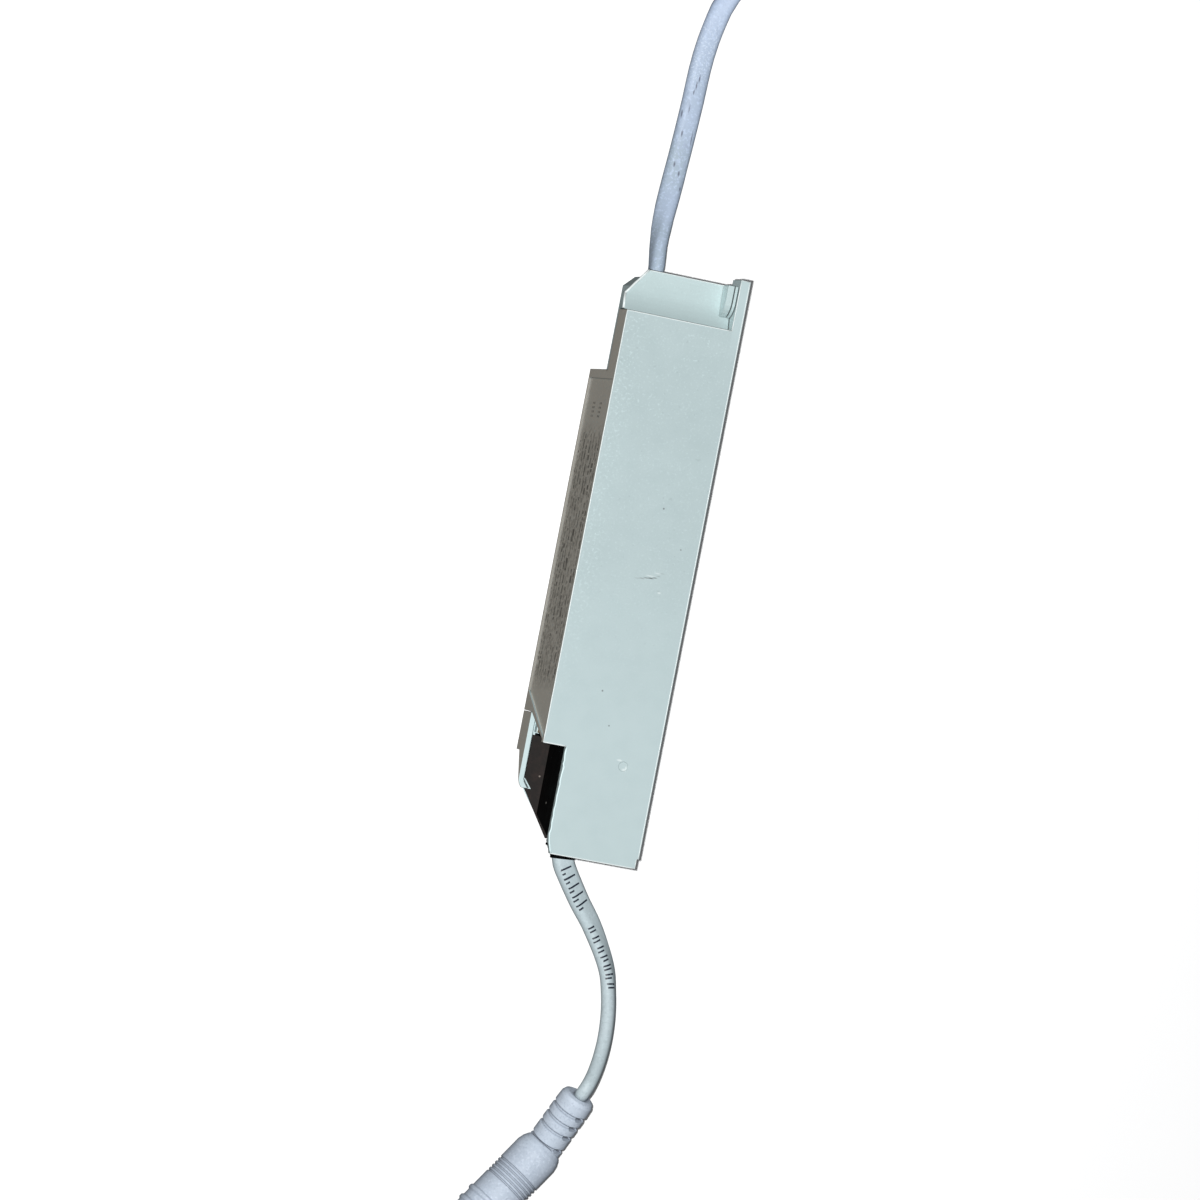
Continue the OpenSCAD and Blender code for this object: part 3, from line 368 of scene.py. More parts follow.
# The scratch on the top face, dark along its floor and bright beside it: place, size, colour, amount
SCRATCH = [
    ((0.6, -3.0), (0.6, 0.12), (0.26, 0.3, 0.3), 0.35),
    ((1.7, -2.82), (0.6, 0.12), (0.22, 0.24, 0.24), 0.6),
    ((2.75, -2.55), (0.6, 0.13), (0.16, 0.18, 0.18), 0.7),
    ((3.8, -2.45), (0.6, 0.14), (0.08, 0.09, 0.09), 0.85),
    ((4.7, -2.2), (0.5, 0.13), (0.13, 0.15, 0.15), 0.7),
    ((5.5, -1.7), (0.45, 0.12), (0.24, 0.28, 0.28), 0.5),
    ((6.3, -0.95), (0.45, 0.12), (0.26, 0.3, 0.3), 0.35),
    ((3.6, -1.95), (0.9, 0.14), (0.75, 0.82, 0.82), 0.45),
    ((5.2, -1.1), (0.6, 0.14), (0.75, 0.82, 0.82), 0.4),
    ((6.4, -5.4), (0.35, 0.2), (0.75, 0.82, 0.82), 0.5),
    ((6.1, -5.0), (0.3, 0.12), (0.28, 0.33, 0.33), 0.4),
]
# A bright dent near the output end: place and size
DENT = [((4.75, -44.5), (0.55, 0.2)), ((6.2, -46.5), (0.45, 0.3)), ((6.6, -46.0), (0.2, 0.35))]
DENT_BRIGHT = (0.72, 0.8, 0.8)
# Scuffs on the mains lead: place and size
SCUFFS = [
    ((-2.25, 112.6), (0.16, 0.8)),
    ((-2.65, 111.0), (0.16, 0.9)),
    ((-3.0, 109.4), (0.14, 0.6)),
    ((-3.3, 105.4), (0.14, 0.9)),
    ((-4.7, 104.0), (0.13, 0.8)),
    ((-1.4, 98.6), (0.1, 1.6)),
    ((-4.3, 92.2), (0.2, 0.6)),
    ((-2.95, 90.2), (0.2, 0.6)),
    ((-2.1, 86.8), (0.2, 0.5)),
    ((-3.9, 99.5), (0.2, 0.7)),
]


def moulded(name, colour, rough=0.42, grain=0.2, cloud=0.05, specks=0.2, left_painted_light=None):
    """Moulded plastic with a fine eroded grain, faint clouds, glints and a few specks of dirt, and a
    tone painted on left-facing faces at the far left for how light falls there.
    """
    p = Paint(name, colour, rough)
    p.soften(0.2)
    p.tint(p.grains(0.35, 0.65, 38.0, 3), scaled(colour, 1 - cloud))
    # Painted light and shade: left-facing faces at the far left take the given tone, a warm shade on the
    # shell and tray, a lighter cast on the cap.
    if left_painted_light:
        p.tint(p.both(p.on_left(), p.along(X, -12.0, -12.8)), left_painted_light)
    p.tint(p.grains(0.58, 0.7, 1900.0), scaled(colour, 1.14), 0.5)
    p.tint(p.grains(0.42, 0.3, 2300.0), scaled(colour, 0.9), 0.5)
    p.tint(p.grains(0.73, 0.78, 900.0, 1), scaled(colour, 0.55), specks)
    p.roughen(p.noise(260.0), rough - 0.06, rough + 0.08)
    p.bump(p.noise(2600.0, 3), grain, 0.04)
    return p


def shell_plastic():
    """Glints towards the mains end, pinholes and a scratch on the top face, a darker seam; painted light
    on left-facing faces right of the middle, painted shade on the low left ledge and in creases.
    """
    p = moulded("housing_plastic", PALE, left_painted_light=WARM_SIDE_SHADE)
    on_top = p.on_top()
    # Painted light on left-facing faces right of the middle.
    p.tint(p.both(p.on_left(), p.along(X, 0.0, 2.0)), scaled(PALE, 1.5))
    glints = p.both(p.grains(0.66, 0.72, 1300.0), p.grains(0.42, 0.6, 90.0), on_top)
    p.tint(p.both(glints, p.along(Y, -20.0, 40.0)), scaled(PALE, 1.2), 0.7)
    left_glints = p.both(p.grains(0.55, 0.68, 1500.0), p.within(X, -14, -9, 1.5), on_top)
    p.tint(left_glints, scaled(PALE, 1.25), 0.6)
    p.tint(p.both(p.within(X, 11.6, 14), p.along(Y, 50.0, 60.0), on_top), scaled(PALE, 1.08))
    p.tint(p.both(p.along(Y, 0.0, -40.0), on_top), scaled(PALE, 1.04))
    # Painted shade on the top faces of the low ledge along the left edge.
    shaded_ledge = p.both(p.within(Z, 0.2, 1.0), p.within(X, -14, -13.1), on_top)
    p.tint(shaded_ledge, scaled(WARM_SIDE_SHADE, 0.42))
    field = p.both(p.within(Y, -31, 29, 1.5), p.within(X, -13.4, -13.1, 0.05), p.within(Z, 1.2, 20, 0.6))
    p.tint(p.both(p.grains(0.45, 0.56, 850.0, 2, 0.7), field), scaled(WARM_SIDE_SHADE, 0.64), 0.85)
    p.tint(p.both(p.grains(0.58, 0.66, 1600.0), p.on_left()), scaled(WARM_SIDE_SHADE, 1.25), 0.5)
    for at, radius in PINHOLES:
        p.tint(p.spot((*at, TOP), (radius, radius, 1.0)), PIN_DARK, 0.8)
    for at, size, colour, amount in SCRATCH:
        p.tint(p.spot((*at, TOP), (*size, 1.0)), colour, amount)
    for at, size in DENT:
        p.tint(p.spot((*at, TOP), (*size, 1.0)), DENT_BRIGHT, 0.7)
    p.tint(p.both(p.within(Z, 14.0, 15.4, 0.3), p.within(Y, 42.0, 57.0)), scaled(WARM_SIDE_SHADE, 0.6), 0.5)
    # Painted shade in creases and gaps.
    p.crevice_shade(0.5, scaled(PALE, 0.3), 0.7)
    return p.done()


def cap_plastic():
    """Painted shade in the hollow beside the seam, painted light on left-facing faces, painted shade in
    creases.
    """
    p = moulded("cap_plastic", CAP, cloud=0.03, specks=0.1, left_painted_light=scaled(CAP, 1.3))
    # Painted light on the left faces of the fins.
    p.tint(p.both(p.on_left(), p.along(X, 0.0, 2.0)), scaled(CAP, 1.35))
    # Painted shade in the hollow beside the seam.
    p.tint(p.within(Y, 50.0, 59.0, 2.6), scaled(CAP, 0.72), 0.8)
    # Painted shade in creases and gaps.
    p.crevice_shade(0.7, scaled(CAP, 0.35), 0.8)
    return p.done()


def connector_plastic():
    """Soft grainy plastic, brighter on the strain relief, with painted shade in its grooves."""
    p = moulded("connector_plastic", CONNECTOR, 0.6, 0.6, 0.08, 0.1)
    p.tint(p.along(Y, -137.5, -134.5), (0.585, 0.67, 0.77), 0.6)
    p.tint(p.grains(0.52, 0.66, 1500.0, 3), (0.59, 0.665, 0.77), 0.8)
    p.tint(p.grains(0.45, 0.35, 1700.0), (0.41, 0.475, 0.57), 0.6)
    # Painted shade in the grooves.
    p.crevice_shade(1.0, (0.09, 0.1, 0.13), 0.9, 0.86, 0.45)
    return p.done()


def black_film():
    """Folded film with a faint drawn grain and one pale speck."""
    p = Paint("black_film", (0.0018, 0.0018, 0.002), 0.5, spec=0.05)
    p.roughen(p.noise(700.0, stretch=(1, 0.08, 1)), 0.45, 0.65)
    p.tint(p.spot((-6.67, -57.5, 8.4), (0.4, 0.22, 0.25)), (0.5, 0.5, 0.46), 0.9)
    p.bump(p.noise(500.0), 0.1, 0.03)
    return p.done()


def brown_fibre():
    """Mottled fibre sheet with one pale speck."""
    p = Paint("brown_fibre", FIBRE, 0.75, spec=0.3)
    p.tint(p.grains(0.45, 0.7, 420.0, 3, 0.7), srgb(48, 37, 34), 0.7)
    p.tint(p.grains(0.5, 0.75, 1100.0, 2, 0.7), srgb(22, 20, 20), 0.7)
    p.tint(p.spot((-7.6, -52.0, 1.9), (0.2, 0.17, 0.4)), srgb(150, 140, 132), 0.8)
    p.bump(p.noise(900.0, 3), 0.4, 0.06)
    return p.done()


def sheathed(name, colour, other, start, full, scuffs=()):
    """Soft flat lead sheath with long faint streaks, which takes the other colour from start on."""
    p = Paint(name, colour, 0.5, spec=0.35)
    p.tint(p.along(Y, start, full), other)
    p.tint(p.grains(0.35, 0.7, 60.0, 3), scaled(colour, 0.93), 0.8)
    p.tint(p.grains(0.52, 0.64, 1600.0), scaled(colour, 1.12), 0.6)
    p.tint(p.grains(0.45, 0.35, 1400.0), scaled(colour, 0.86), 0.6)
    p.tint(p.grains(0.68, 0.76, 700.0, stretch=(1, 0.25, 1)), scaled(colour, 0.6), 0.35)
    for at, size in scuffs:
        p.tint(p.spot((*at, 3.3), (*size, 3.0)), srgb(84, 86, 104), 0.8)
    if scuffs:
        wrinkles = p.grains(0.55, 0.68, 650.0, 3, 0.7, stretch=(1, 0.5, 1))
        p.tint(p.both(wrinkles, p.within(Y, 86, 113, 4)), scaled(colour, 0.72), 0.7)
        sparkle = p.both(p.grains(0.54, 0.66, 2100.0), p.within(Y, 111, 127, 4))
        p.tint(sparkle, (0.7, 0.8, 0.93), 0.6)
    p.roughen(p.noise(200.0), 0.44, 0.6)
    p.bump(p.noise(900.0, 3, stretch=(1, 0.3, 1)), 0.3, 0.06)
    return p.done()


def brushed(name, colour, rough, stretch=(1, 1, 1)):
    """Metal with a fine grain, drawn out where stretch is small."""
    p = Paint(name, colour, rough, metal=1.0)
    p.tint(p.grains(0.3, 0.7, 120.0, 3), scaled(colour, 0.85))
    p.roughen(p.noise(900.0, stretch=stretch), rough - 0.07, rough + 0.1)
    p.bump(p.noise(1500.0, stretch=stretch), 0.3, 0.02)
    return p.done()


def resin(name, colour, rough, dust=0.25, grain=0.3):
    """Moulded or dipped part body with a fine grain and a little dust."""
    p = Paint(name, colour, rough)
    p.soften(0.15)
    p.tint(p.grains(0.35, 0.7, 90.0, 3), scaled(colour, 0.8))
    p.tint(p.grains(0.64, 0.75, 1500.0), tuple(0.6 * c + 0.25 for c in colour), dust)
    p.roughen(p.noise(400.0), rough - 0.06, rough + 0.1)
    p.bump(p.noise(1800.0, 3), grain, 0.03)
    return p.done()


def copper_turns():
    p = Paint("copper_turns", (0.72, 0.33, 0.14), 0.28, metal=0.9)
    turns = p.wave("Y", 0.45, 0.6)
    p.tint(p.ramp(turns, 0.2, 0.6), (0.3, 0.12, 0.05), 0.7)
    p.bump(turns, 0.8, 0.12)
    return p.done()


def winding_tape():
    p = Paint("winding_tape", srgb(214, 186, 66), 0.35)
    p.tint(p.grains(0.4, 0.7, 300.0, 3), srgb(186, 152, 44), 0.6)
    p.tint(p.within(Z, 10.2, 10.5, 0.1), srgb(150, 120, 36), 0.7)
    p.bump(p.wave("Z", 1.6, 0.4), 0.3, 0.06)
    return p.done()


def can_sleeve():
    """Dark sleeve with a bare metal end and a pale stripe."""
    p = Paint("can_sleeve", (0.03, 0.034, 0.05), 0.34)
    p.tint(p.both(p.facing(Z, 0.2, 0.5), p.facing(X, 0.1, 0.3)), (0.3, 0.31, 0.33), 0.7)
    p.roughen(p.noise(300.0), 0.26, 0.42)
    p.bump(p.noise(700.0), 0.15, 0.03)
    return p.done()


def board_laminate():
    """Board with the grain of its weave, tracks and solder dots."""
    p = Paint("board_laminate", LAMINATE, 0.45)
    p.tint(p.grains(0.4, 0.65, 500.0, 4, 0.7, stretch=(1, 0.2, 1)), scaled(LAMINATE, 0.7), 0.6)
    p.tint(p.ramp(p.wave("X", 2.6, 2.5), 0.86, 0.9), srgb(200, 168, 110), 0.5)
    p.tint(p.grains(0.7, 0.74, 350.0, 1), srgb(225, 222, 210), 0.6)
    p.bump(p.noise(1200.0, 3), 0.25, 0.03)
    return p.done()


def ceramic():
    """Glazed tube with a metal band at each end."""
    p = Paint("ceramic", srgb(226, 220, 200), 0.3)
    p.tint(p.grains(0.45, 0.7, 250.0, 3), srgb(206, 196, 170), 0.5)
    band = p.both(p.within(X, -8.9, -6.9, 0.1), p.within(Z, 4.5, 9.3))
    p.tint(band, srgb(190, 190, 186), 0.9)
    p.tint(p.within(X, -4.4, -2.3, 0.1), srgb(190, 190, 186), 0.9)
    p.bump(p.noise(900.0), 0.15, 0.03)
    return p.done()


def floor_paper():
    p = Paint("floor_paper", (0.97, 0.97, 0.97), 0.9, spec=0.0)
    p.tint(p.grains(0.4, 0.7, 3.0), (0.965, 0.967, 0.97))
    p.put("Emission Color", (1, 1, 1, 1))
    p.put("Emission Strength", 0.07)
    return p.done()


film = black_film()
mains_mat = sheathed("mains_sheath", LILAC, (0.35, 0.435, 0.51), 130.0, 95.0, SCUFFS)
output_mat = sheathed("output_sheath", scaled(NEUTRAL, 1.13), (0.53, 0.615, 0.655), -90.0, -110.0)
core_mat = resin("core_sheath", srgb(110, 118, 150), 0.38, 0.1, 0.15)


def give(material, *names):
    for n in names:
        slots = NODES[n].data.materials
        slots.clear()
        slots.append(material)


give(shell_plastic(), "upper_shell")
give(moulded("tray_plastic", scaled(PALE, 1.3), left_painted_light=WARM_SIDE_SHADE).done(), "base_tray")
give(cap_plastic(), "input_end_cap", "input_clamp", "output_clamp")
give(film, "insulating_liner", "output_cord_sleeve")
give(brown_fibre(), "insulating_sheet")
give(board_laminate(), "circuit_board")
give(ceramic(), "fuse")
give(resin("blue_coating", srgb(40, 92, 150), 0.3), "varistor", "y_capacitor")
give(resin("yellow_case", srgb(196, 176, 62), 0.4), "x_capacitor")
ferrite = resin("ferrite", (0.05, 0.05, 0.053), 0.62, 0.35, 0.5)
give(ferrite, "choke_core", "transformer_core", "filter_inductor")
give(copper_turns(), "choke_winding", "lead_strands")
give(winding_tape(), "transformer_winding")
give(can_sleeve(), "bulk_capacitor", "output_capacitors")
black = resin("black_resin", (0.022, 0.022, 0.024), 0.5)
give(black, "bridge_rectifier", "power_transistor", "controller_chip", "chip_resistors", "output_diode")
give(black, "connector_insert")
give(brushed("sheet_aluminium", (0.74, 0.75, 0.76), 0.32, (1, 0.06, 1)), "heat_sink")
steel = brushed("plated_steel", (0.62, 0.61, 0.58), 0.26)
give(steel, "clamp_screws", "connector_sleeve", "connector_pin")
give(core_mat, "input_wires", "output_wires", "lead_cores")
give(mains_mat, "input_cord", "input_coil")
give(output_mat, "output_cord")
give(connector_plastic(), "connector_moulding")
give(moulded("tie_plastic", (0.72, 0.73, 0.71), 0.35, 0.1).done(), "coil_tie")

# Flat output lead: the places of part.scad's route, and the rolls of its wide side
CORD_W = 5.2
CORD_T = 3.2
BOOT_L = 16
BOOT_RISE = math.radians(22)
BOOT_HEADING = math.radians(251.3)
PLUG_AT = Vector((13.5, -122.0, 6 + BOOT_L * math.sin(BOOT_RISE)))
BOOT_AHEAD = Vector(
    (
        math.cos(BOOT_HEADING) * math.cos(BOOT_RISE),
        math.sin(BOOT_HEADING) * math.cos(BOOT_RISE),
        -math.sin(BOOT_RISE),
    )
)
LEAD_OFF = 0.4 * Vector((-math.sin(BOOT_HEADING), math.cos(BOOT_HEADING), 0))
OUT_PLACES = [
    (0.8, -50.1, 4, 0),
    (0.8, -60.5, 4, 0),
    (0.85, -69.0, 4, 0),
    (1.4, -70.6, 3.95, 5),
    (3, -73.15, 3.8, 14),
    (7.0, -78.55, 3.2, 26),
    (10.8, -83.15, 2.8, 35),
    (14.4, -88.65, 2.8, 50),
    (16.8, -93.35, 3, 60),
    (17.85, -97.85, 3.8, 65),
    (18.35, -102.85, 5.4, 65),
    (18.2, -108.25, 7.2, 65),
    (17.3, -113.25, 9.3, 65),
    (15.95, -117.25, 11.4, 65),
    (*(PLUG_AT + LEAD_OFF - 2.4 * BOOT_AHEAD), 65),
    (*(PLUG_AT + LEAD_OFF - 0.1 * BOOT_AHEAD), 65),
]
out_route = spline(OUT_PLACES, 1.2)
out_lead = swept("output_lead", [out_route], flat_outline(CORD_W, CORD_T, 10), output_mat)
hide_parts("output_cord")

# Flat mains lead: its route, then one and a quarter turns wound on edge
IN_PLACES = [
    (-5.1, 55.4, 8, 90),
    (-5.1, 60.5, 8, 90),
    (-5.1, 68.1, 8, 90),
    (-5.3, 72.4, 7, 82),
    (-4.7, 79.6, 4.3, 50),
    (-3.6, 88.5, 2.2, 12),
    (-2.9, 97.5, 1.7, 0),
    (-2.4, 107.5, 1.7, 0),
    (-2.2, 114.75, 1.7, 0),
    (-1.5, 121.75, 1.7, 0),
    (0.1, 129.55, 1.85, 10),
    (1.5, 133.1, 2.1, 25),
    (4.9, 138.7, 2.5, 55),
]
COIL_AT = Vector((-11.9, 162.2, 0))
COIL_FROM = -45
COIL_TO = 401
COIL_STEP = 10
COIL_R = 28.2
COIL_IN = 3.5
COIL_Z = 2.65
TIE_ANGLE = 20
TIE_SPREAD = 9
TIE_RISE = 0.6


def coil_places():
    """A flat spiral, COIL_IN closer to its middle each turn, that lifts over the tie."""
    out = []
    for angle in range(COIL_FROM, COIL_TO + 1, COIL_STEP):
        a = math.radians(angle)
        r = COIL_R - COIL_IN * (angle - COIL_FROM) / 360
        over_tie = math.exp(-(((angle % 360 - TIE_ANGLE) / TIE_SPREAD) ** 2))
        x, y = COIL_AT.x + r * math.cos(a), COIL_AT.y + r * math.sin(a)
        out.append((x, y, COIL_Z + TIE_RISE * over_tie, 90))
    return out


in_route = spline(IN_PLACES + coil_places(), 3.0)
in_lead = swept("mains_lead", [in_route], flat_outline(CORD_W, CORD_T, 8), mains_mat)
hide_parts("input_cord", "input_coil")

# The mains lead's two cores past the end of the sheath, from the coil's middle
CORES = [
    [
        (18.0, 15.65, 3.5),
        (16.0, 17.5, 3.3),
        (13.0, 18.6, 2.4),
        (9.0, 18.6, 1.5),
        (5.4, 17.9, 1.1),
        (0.2, 17, 1.0),
        (-4.4, 14.7, 1.0),
    ],
    [
        (18.0, 15.65, 1.7),
        (15.6, 16.6, 1.4),
        (11.6, 16.4, 1.1),
        (5.6, 14.6, 1.0),
        (1.1, 12.6, 1.0),
        (-2.5, 9.7, 1.0),
    ],
]
CORE_D = 1.9
BARE_L = 7.0
BARE_STEP = 0.35
STRAND_D = 0.27
STRANDS = 6
STRAND_R = 0.3
STRAND_SPLAY = 0.25
STRAND_TURNS = 1.1
STRAND_STEPS = 14
SPLAY_SEED_STEP = 3.1
MIDDLE_STEPS = 8
SUNK = 0.6
core_routes = [spline([COIL_AT + Vector(p) for p in route], 1.2) for route in CORES]
cores = swept("mains_cores", core_routes, round_outline(CORE_D, 12), core_mat)
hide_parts("lead_cores")


def strands(route):
    """One straight wire and twisted ones round it, which go on from a route's end."""
    start = route[-1]
    ahead = (route[-1] - route[-2]).normalized()
    across, up = axes(ahead)
    out = [[start + ahead * (t * BARE_L / MIDDLE_STEPS - SUNK) for t in range(MIDDLE_STEPS + 1)]]
    for k in range(STRANDS):
        length = BARE_L - BARE_STEP * (k % 3)
        wire = []
        for i in range(STRAND_STEPS + 1):
            t = i / STRAND_STEPS
            a = 2 * math.pi * (k / STRANDS + STRAND_TURNS * t)
            r = STRAND_R * (1 + STRAND_SPLAY * t * math.sin(SPLAY_SEED_STEP * k))
            middle = start + ahead * (t * length - SUNK * (1 - t))
            wire.append(middle + (across * math.cos(a) + up * math.sin(a)) * r)
        out.append(wire)
    return out


copper_wire = resin("copper_wire", (0.7, 0.32, 0.14), 0.3, 0.0, 0.1)
wires = strands(core_routes[0]) + strands(core_routes[1])
ends = swept("mains_strands", wires, round_outline(STRAND_D, 6), copper_wire)
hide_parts("lead_strands")

# Black sleeve round the output lead where it leaves the housing
SLEEVE_END = -69.75
SLEEVE_WIDER = 0.7
collar_route = [p for p in spline(OUT_PLACES, 0.25) if p[1] > SLEEVE_END]
collar_outline = flat_outline(CORD_W + SLEEVE_WIDER, CORD_T + SLEEVE_WIDER, 8)
collar = swept("lead_collar", [collar_route], collar_outline, film)
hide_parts("output_cord_sleeve")

# Plain marks on the recessed left side: each row's height above the floor, size and gap
FIELD_X = -13.25
FIELD_FROM = 28.0
FIELD_TO = -29
DOTS_FROM = 31.6
DOTS_IN_ROW = 4
DOT_HEIGHTS = (6.8, 7.9, 12.4, 13.5)
DOT_HALF_W = 0.24
DOT_HALF_H = 0.3
DASH_LENGTHS = (0.35, 0.5, 0.8, 1.2)
DASH_HEIGHTS = (0.3, 0.5, 0.5, 1.0)
DASH_SHARE = 0.85
MARK_PROUD = 0.012
MARK_ROWS = [
    (18.2, 0.8, 0.45),
    (16.0, 1.3, 0.6),
    (13.2, 1.0, 0.5),
    (10.6, 1.6, 0.7),
    (7.9, 0.9, 0.45),
    (5.6, 1.2, 0.55),
    (3.6, 0.8, 0.45),
    (1.9, 0.6, 0.5),
]


def quad(bm, centre, half_a, half_b):
    bm.faces.new(
        [
            bm.verts.new((centre + a * half_a + b * half_b) * MM)
            for a, b in ((-1, -1), (1, -1), (1, 1), (-1, 1))
        ]
    )


def side_marks():
    """Rows of dashes in the recessed field, and two small groups of dots beside it."""
    bm = bmesh.new()
    rnd = random.Random(7)
    x = FIELD_X - MARK_PROUD
    for z, height, gap in MARK_ROWS:
        y = FIELD_FROM - 2 * rnd.random()
        while y > FIELD_TO:
            length = rnd.choice(DASH_LENGTHS) * (0.8 + height)
            if rnd.random() < DASH_SHARE:
                tall = height * rnd.choice(DASH_HEIGHTS)
                at = Vector((x, y - length / 2, z + rnd.uniform(-0.4, 0.4) * height))
                quad(bm, at, Vector((0, -length / 2, 0)), Vector((0, 0, tall / 2)))
            y -= length + gap * rnd.uniform(0.5, 1.6)
    half_w, half_h = Vector((0, -DOT_HALF_W, 0)), Vector((0, 0, DOT_HALF_H))
    for z in DOT_HEIGHTS:
        for k in range(DOTS_IN_ROW):
            quad(bm, Vector((x, DOTS_FROM + k, z)), half_w, half_h)
    ink = Paint("side_ink", scaled(WARM_SIDE_SHADE, 0.28), 0.5)
    ink.tint(ink.grains(0.5, 0.65, 700.0), scaled(WARM_SIDE_SHADE, 0.7), 0.8)
    return new_object("side_marks", bm, ink.done(), smooth=False)


# Plain marks on the output lead, in pairs: where each starts, by the run from MARKS_FROM, and
# how far on the second mark's low and high ends are
MARKS_FROM = -68.2
MARK_RUNS = (2.7, 4.9, 7.2, 9.5, 11.8, 18.0, 20.6, 23.2, 25.5, 27.8, 30.1, 32.5)
MARK_HALF = 1.3
MARK_SHRINK = 0.012
SECOND_LOW = 1.0
SECOND_HIGH = 0.9
DRIFT_START = -0.1
DRIFT_FROM = 20.5
DRIFT_SLOPE = 0.75 / 14
STROKE = 0.42
STROKE_PROUD = 0.03
STROKE_STEPS = 5


def lead_marks():
    """Short dashes across the side of the output lead that shows from above left."""
    bm = bmesh.new()
    rnd = random.Random(3)
    outline = flat_outline(CORD_W, CORD_T, 24)
    past = [p for p in out_route if p[1] < MARKS_FROM]
    runs = [0.0]
    for a, b in zip(past, past[1:]):
        runs.append(runs[-1] + (b.to_3d() - a.to_3d()).length)

    def surface(run, shift):
        """A place on the lead, shift mm right of its middle as seen from above left."""
        i = max(k for k in range(len(runs) - 1) if runs[k] <= run)
        p = past[i].lerp(past[i + 1], (run - runs[i]) / (runs[i + 1] - runs[i]))
        ahead = (past[i + 1].to_3d() - past[i].to_3d()).normalized()
        across, up = axes(ahead)
        side = TOWARDS.cross(ahead).normalized()
        turned = [rolled(a, b, p[3]) for a, b in outline]
        seen = [q for q in (across * x + up * y for x, y in turned) if q.dot(TOWARDS) > 0]
        q = min(seen, key=lambda v: abs(v.dot(side) - shift))
        return p.to_3d() + q * (1 + STROKE_PROUD / q.length)

    def stroke(run0, shift0, run1, shift1):
        """A bar from one place on the surface to another."""
        rows = []
        for k in range(STROKE_STEPS + 1):
            t = k / STROKE_STEPS
            run, shift = run0 + (run1 - run0) * t, shift0 + (shift1 - shift0) * t
            sides = (surface(run - STROKE / 2, shift), surface(run + STROKE / 2, shift))
            rows.append([bm.verts.new(v * MM) for v in sides])
        for a, b in zip(rows, rows[1:]):
            bm.faces.new((a[0], a[1], b[1], b[0]))

    for run in MARK_RUNS:
        # The row drifts to the right as the lead turns on its edge
        drift = DRIFT_START + DRIFT_SLOPE * max(0.0, run - DRIFT_FROM)
        tall = MARK_HALF - MARK_SHRINK * run
        stroke(run, drift - tall * rnd.uniform(0.7, 1), run, drift + tall)
        low, high = tall * rnd.uniform(0.4, 1), tall * rnd.uniform(0.2, 1)
        stroke(run + SECOND_LOW, drift - low, run + SECOND_HIGH, drift + high)
    bmesh.ops.recalc_face_normals(bm, faces=bm.faces)
    ink = Paint("lead_ink", srgb(30, 38, 54), 0.5)
    ink.tint(ink.grains(0.62, 0.78, 900.0), NEUTRAL, 0.3)
    return new_object("lead_marks", bm, ink.done(), smooth=False)


side_marks()
lead_marks()


# Fine raised edges along the housing in a bright plastic, partly moulding flash and burr and partly
# painted highlights along the edges: places, radius and shake
COVE_FROM = 56.65
COVE_L = 9.9
COVE_TOP = 19.2
COVE_DEEP = 1.9


def cove(y):
    """Height of the cap's hollow face."""
    t = (y - COVE_FROM) / COVE_L
    return COVE_TOP - COVE_DEEP * (1 - (1 - t) ** 2)


COVE_EDGE = [(-13.88, y, cove(y) - 0.1) for y in (56.8, 58.5, 60.3)]
MOULDED_EDGE_HIGHLIGHTS = [
    ([(-13.66, -43.55, 21.93), (-13.66, 56.35, 21.93), (11.4, 56.35, 21.93)], 0.14, 0.03),
    ([(-13.66, -43.55, 21.93), (-8.2, -43.57, 21.95)], 0.17, 0.05),
    ([(-7.1, -68.15, 21.93), (13.2, -68.15, 21.93)], 0.15, 0.03),
    ([(13.17, -68.15, 21.93), (13.17, -65.95, 21.93)], 0.12, 0.0),
    ([(13.55, -65.95, 21.95), (13.55, 68.1, 21.95)], 0.12, 0.02),
    ([(11.53, 56.4, 21.95), (11.53, 68.15, 21.95), (13.6, 68.15, 21.95)], 0.12, 0.03),
    (COVE_EDGE, 0.32, 0.03),
    ([COVE_EDGE[-1], (-9.1, 66.5, 17.1)], 0.3, 0.1),
    ([(-8.85, 66.42, 17.3), (11.1, 66.42, 17.3)], 0.12, 0.05),
]
CUT_EDGE_HIGHLIGHT = [([(-8.06, -43.6, 21.9), (-8.06, -64.5, 21.9), (-7.1, -68.1, 21.9)], 0.22, 0.4)]
SIDE_EDGE_HIGHLIGHT = [([(-13.27, -42.8, 20.95), (-13.27, -32.95, 0.65)], 0.09, 0.02)]
ROUGH_SHAKE = 0.1
ROUGH_STEP = 0.8
EVEN_STEP = 1.5
SHAKE_WAVES = 0.7
SHAKE_SEED_STEP = 7.3
EDGE_ABOVE = Vector((0.3, 0.2, 1))


def shaken(places, shake, seed):
    """Points along straight lines through places, a little off to the sides."""
    step = ROUGH_STEP if shake > ROUGH_SHAKE else EVEN_STEP
    out = []
    for a, b in zip(places, places[1:]):
        a, b = Vector(a), Vector(b)
        count = max(1, round((b - a).length / step))
        out += [a.lerp(b, k / count) for k in range(count)]
    out.append(Vector(places[-1]))
    side = Vector((1, 0.3, 0))
    shift = Vector((seed, 0, 0))
    return [p + side * shake * noise.noise(p * SHAKE_WAVES + shift) for p in out]


def edge_lines(name, lines, material):
    bm = bmesh.new()
    for k, (places, radius, shake) in enumerate(lines):
        line = shaken(places, shake, k * SHAKE_SEED_STEP)
        add_tube(bm, line, round_outline(2 * radius, 6), EDGE_ABOVE)
    bmesh.ops.recalc_face_normals(bm, faces=bm.faces)
    new_object(name, bm, material)
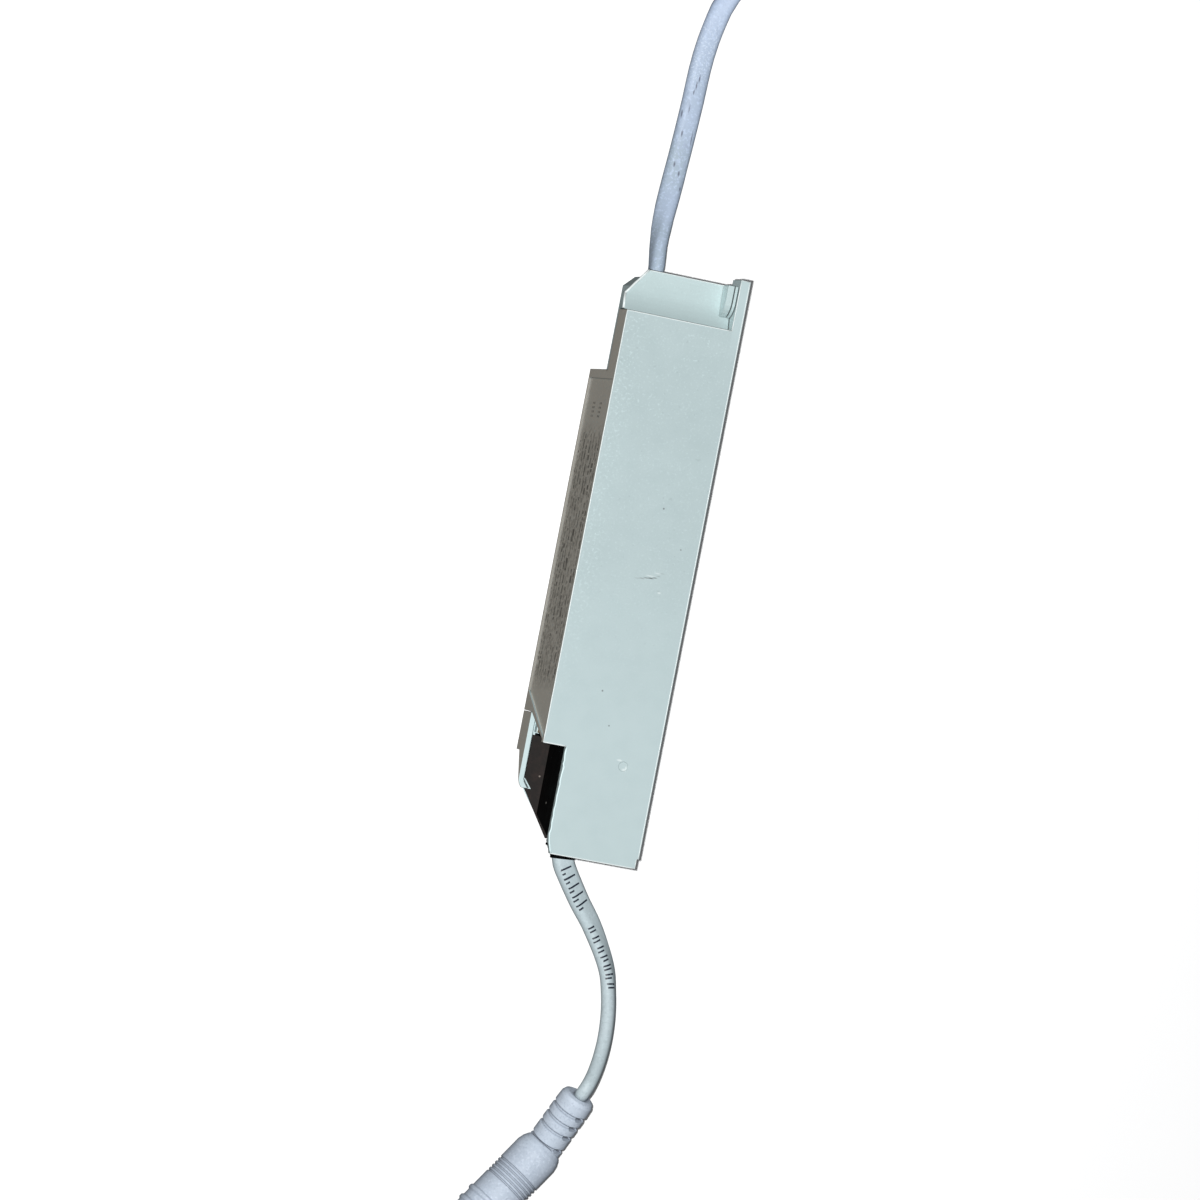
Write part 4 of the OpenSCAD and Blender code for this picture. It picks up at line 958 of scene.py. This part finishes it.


# Bright plastic for the edge lines: painted highlights on the edges, over partly real moulding flash and
# burr.
flash_highlight = moulded("moulded_edge_highlight", (0.80, 0.87, 0.87), 0.3, 0.1, 0.02, 0.0).done()
burr_highlight = moulded("cut_edge_highlight", scaled(PALE, 1.65), 0.4, 0.3, 0.1, 0.0).done()
side_flash_highlight = moulded("side_edge_highlight", scaled(WARM_SIDE_SHADE, 1.15), 0.4, 0.1, 0.1, 0.0, scaled(WARM_SIDE_SHADE, 1.5)).done()
edge_lines("moulded_edge_highlights", MOULDED_EDGE_HIGHLIGHTS, flash_highlight)
edge_lines("cut_edge_highlight", CUT_EDGE_HIGHLIGHT, burr_highlight)
edge_lines("side_edge_highlights", SIDE_EDGE_HIGHLIGHT, side_flash_highlight)

# Floor, light and world, in metres
FLOOR_HALF = 3.0
FLOOR_Z = -0.00005
KEY_AT = Vector((-0.328, -0.011, 1.1))
KEY_SIZE = 0.02
KEY_WATTS = 14.1
ROOM_LEFT = (0.035, 0.028, 0.022, 1)
ROOM_MIDDLE = (0.07, 0.073, 0.076, 1)
ROOM_RIGHT = (0.08, 0.083, 0.087, 1)


def add_floor():
    bm = bmesh.new()
    bmesh.ops.create_grid(bm, x_segments=2, y_segments=2, size=FLOOR_HALF)
    floor = new_object("floor", bm, floor_paper(), smooth=False, rides=False)
    floor.location = (0, 0, FLOOR_Z)
    floor.visible_diffuse = False
    floor.visible_glossy = False


def add_key_light():
    """A small high light, left of the camera's side, that aims at the part's origin."""
    data = bpy.data.lights.new("key", "AREA")
    data.shape = "DISK"
    data.size = KEY_SIZE
    data.energy = KEY_WATTS
    light = bpy.data.objects.new("key", data)
    collection.objects.link(light)
    light.location = KEY_AT
    light.rotation_euler = KEY_AT.to_track_quat("Z", "Y").to_euler()


def add_world():
    """Soft room light: dim and warm on the left, brighter towards the right."""
    world = bpy.data.worlds.new("studio")
    world.use_nodes = True
    tree = world.node_tree
    coord = tree.nodes.new("ShaderNodeTexCoord")
    split = tree.nodes.new("ShaderNodeSeparateXYZ")
    ramp = tree.nodes.new("ShaderNodeValToRGB")
    scale = tree.nodes.new("ShaderNodeMapRange")
    scale.inputs["From Min"].default_value = -1
    tree.links.new(coord.outputs["Generated"], split.inputs[0])
    tree.links.new(split.outputs[0], scale.inputs["Value"])
    tree.links.new(scale.outputs[0], ramp.inputs[0])
    stops = ramp.color_ramp.elements
    stops[0].color = ROOM_LEFT
    stops[1].color = ROOM_RIGHT
    stops.new(0.5).color = ROOM_MIDDLE
    tree.links.new(ramp.outputs[0], tree.nodes["Background"].inputs["Color"])
    scene.world = world


add_floor()
add_key_light()
add_world()
scene.view_settings.view_transform = "Standard"
scene.view_settings.look = "None"
